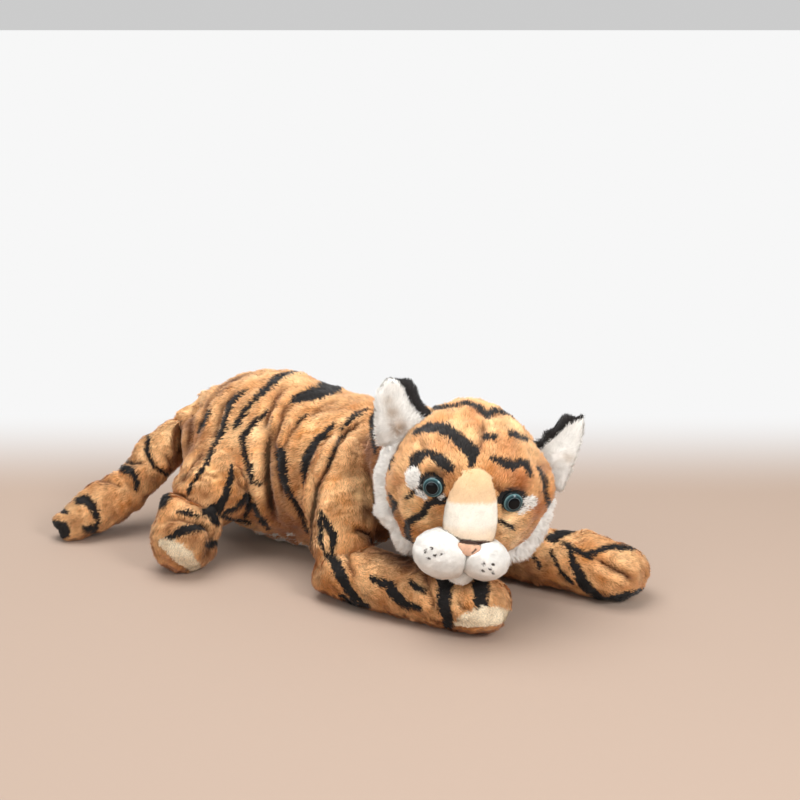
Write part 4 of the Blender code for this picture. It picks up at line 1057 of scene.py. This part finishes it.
def turning_axis(node):
    """The middle of a turned solid's dome and the way that it looks."""
    corners = np.array([point.co for point in frame["nodes"][node].data.vertices])
    corners = np.unique(np.round(corners, 6), axis=0)
    middle = corners.mean(0)
    spread, ways = np.linalg.eigh(np.cov((corners - middle).T))
    way = ways[:, int(np.argmax(np.abs(spread - np.median(spread))))]
    if way[1] > 0.0:
        way = -way
    heights = (corners - middle) @ way
    radii = np.linalg.norm(corners - middle - heights[:, None] * way, axis=1)
    rim = heights[radii > radii.max() * 0.995]
    return middle + way * rim.max(), way, radii.max(), heights.max() - rim.max()


eye_finish, eye_nodes, eye_links, eye_shader = new_finish("eye_gloss")
eye_ring, eye_ramp = map(eye_nodes.new, ("ShaderNodeAttribute", "ShaderNodeValToRGB"))
eye_ring.attribute_name = "ring"
eye_stops = eye_ramp.color_ramp.elements
eye_stops[0].color, eye_stops[1].color = (0.004, 0.004, 0.004, 1.0), (0.010, 0.016, 0.018, 1.0)
for place, colour in (
    (0.55, (0.001, 0.001, 0.002)), (0.58, (0.105, 0.150, 0.160)), (0.62, (0.010, 0.022, 0.026)),
    (0.76, (0.024, 0.056, 0.064)), (0.86, (0.100, 0.185, 0.195)), (0.91, (0.004, 0.007, 0.008)),
):
    eye_stops.new(place).color = (*colour, 1.0)
wire(eye_links, (eye_ring, "Fac", eye_ramp, "Fac"), (eye_ramp, "Color", eye_shader, "Base Color"))
tune(eye_shader, {"Roughness": 0.07, "Specular IOR Level": 0.18})
for side_name in ("right", "left"):
    rim, way, eye_radius, dome_height = turning_axis(f"eye_{side_name}")
    turn = Vector(way).to_track_quat("Z", "Y")
    bpy.ops.object.select_all(action="DESELECT")
    bpy.ops.mesh.primitive_uv_sphere_add(
        segments=48, ring_count=32, radius=eye_radius, location=rim, rotation=turn.to_euler()
    )
    dome = bpy.context.active_object
    dome.name = f"eye_dome_{side_name}"
    dome.data.name = dome.name
    dome.scale = (1.0, 1.0, dome_height / eye_radius)
    bpy.ops.object.transform_apply(location=True, rotation=True, scale=True)
    bpy.ops.object.mode_set(mode="EDIT")
    bpy.ops.mesh.select_all(action="SELECT")
    bpy.ops.mesh.bisect(plane_co=rim - way * dome_height * 0.35, plane_no=-way, use_fill=True, clear_outer=True)
    bpy.ops.object.mode_set(mode="OBJECT")
    points, _ = skin_points(dome)
    heights = (points - rim) @ way
    radii = np.linalg.norm(points - rim - heights[:, None] * way, axis=1)
    ring = dome.data.attributes.new("ring", "FLOAT", "POINT")
    ring.data.foreach_set("value", (radii / eye_radius).astype(np.float32))
    dome.data.materials.append(eye_finish)
    dome.data.shade_smooth()
    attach(dome, "head")
    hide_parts(f"eye_{side_name}")

# Lock washers. Pale plastic rings behind the face skin, kept as they are with a moulded finish.
washer_finish, washer_nodes, washer_links, washer_shader = new_finish("washer_moulding")
washer_place, washer_noise, washer_tone = map(
    washer_nodes.new, ("ShaderNodeTexCoord", "ShaderNodeTexNoise", "ShaderNodeMix")
)
washer_tone.data_type = "RGBA"
tune(washer_noise, {"Scale": 600.0})
tune(washer_tone, {"A": (0.70, 0.70, 0.68, 1.0), "B": (0.82, 0.82, 0.80, 1.0)})
wire(
    washer_links, (washer_place, "Object", washer_noise, "Vector"), (washer_noise, "Fac", washer_tone, "Factor"),
    (washer_tone, "Result", washer_shader, "Base Color"),
)
tune(washer_shader, {"Roughness": 0.4})
for side_name in ("right", "left"):
    washer = frame["nodes"][f"eye_washer_{side_name}"]
    for washer_slot in washer.material_slots:
        washer_slot.material = washer_finish
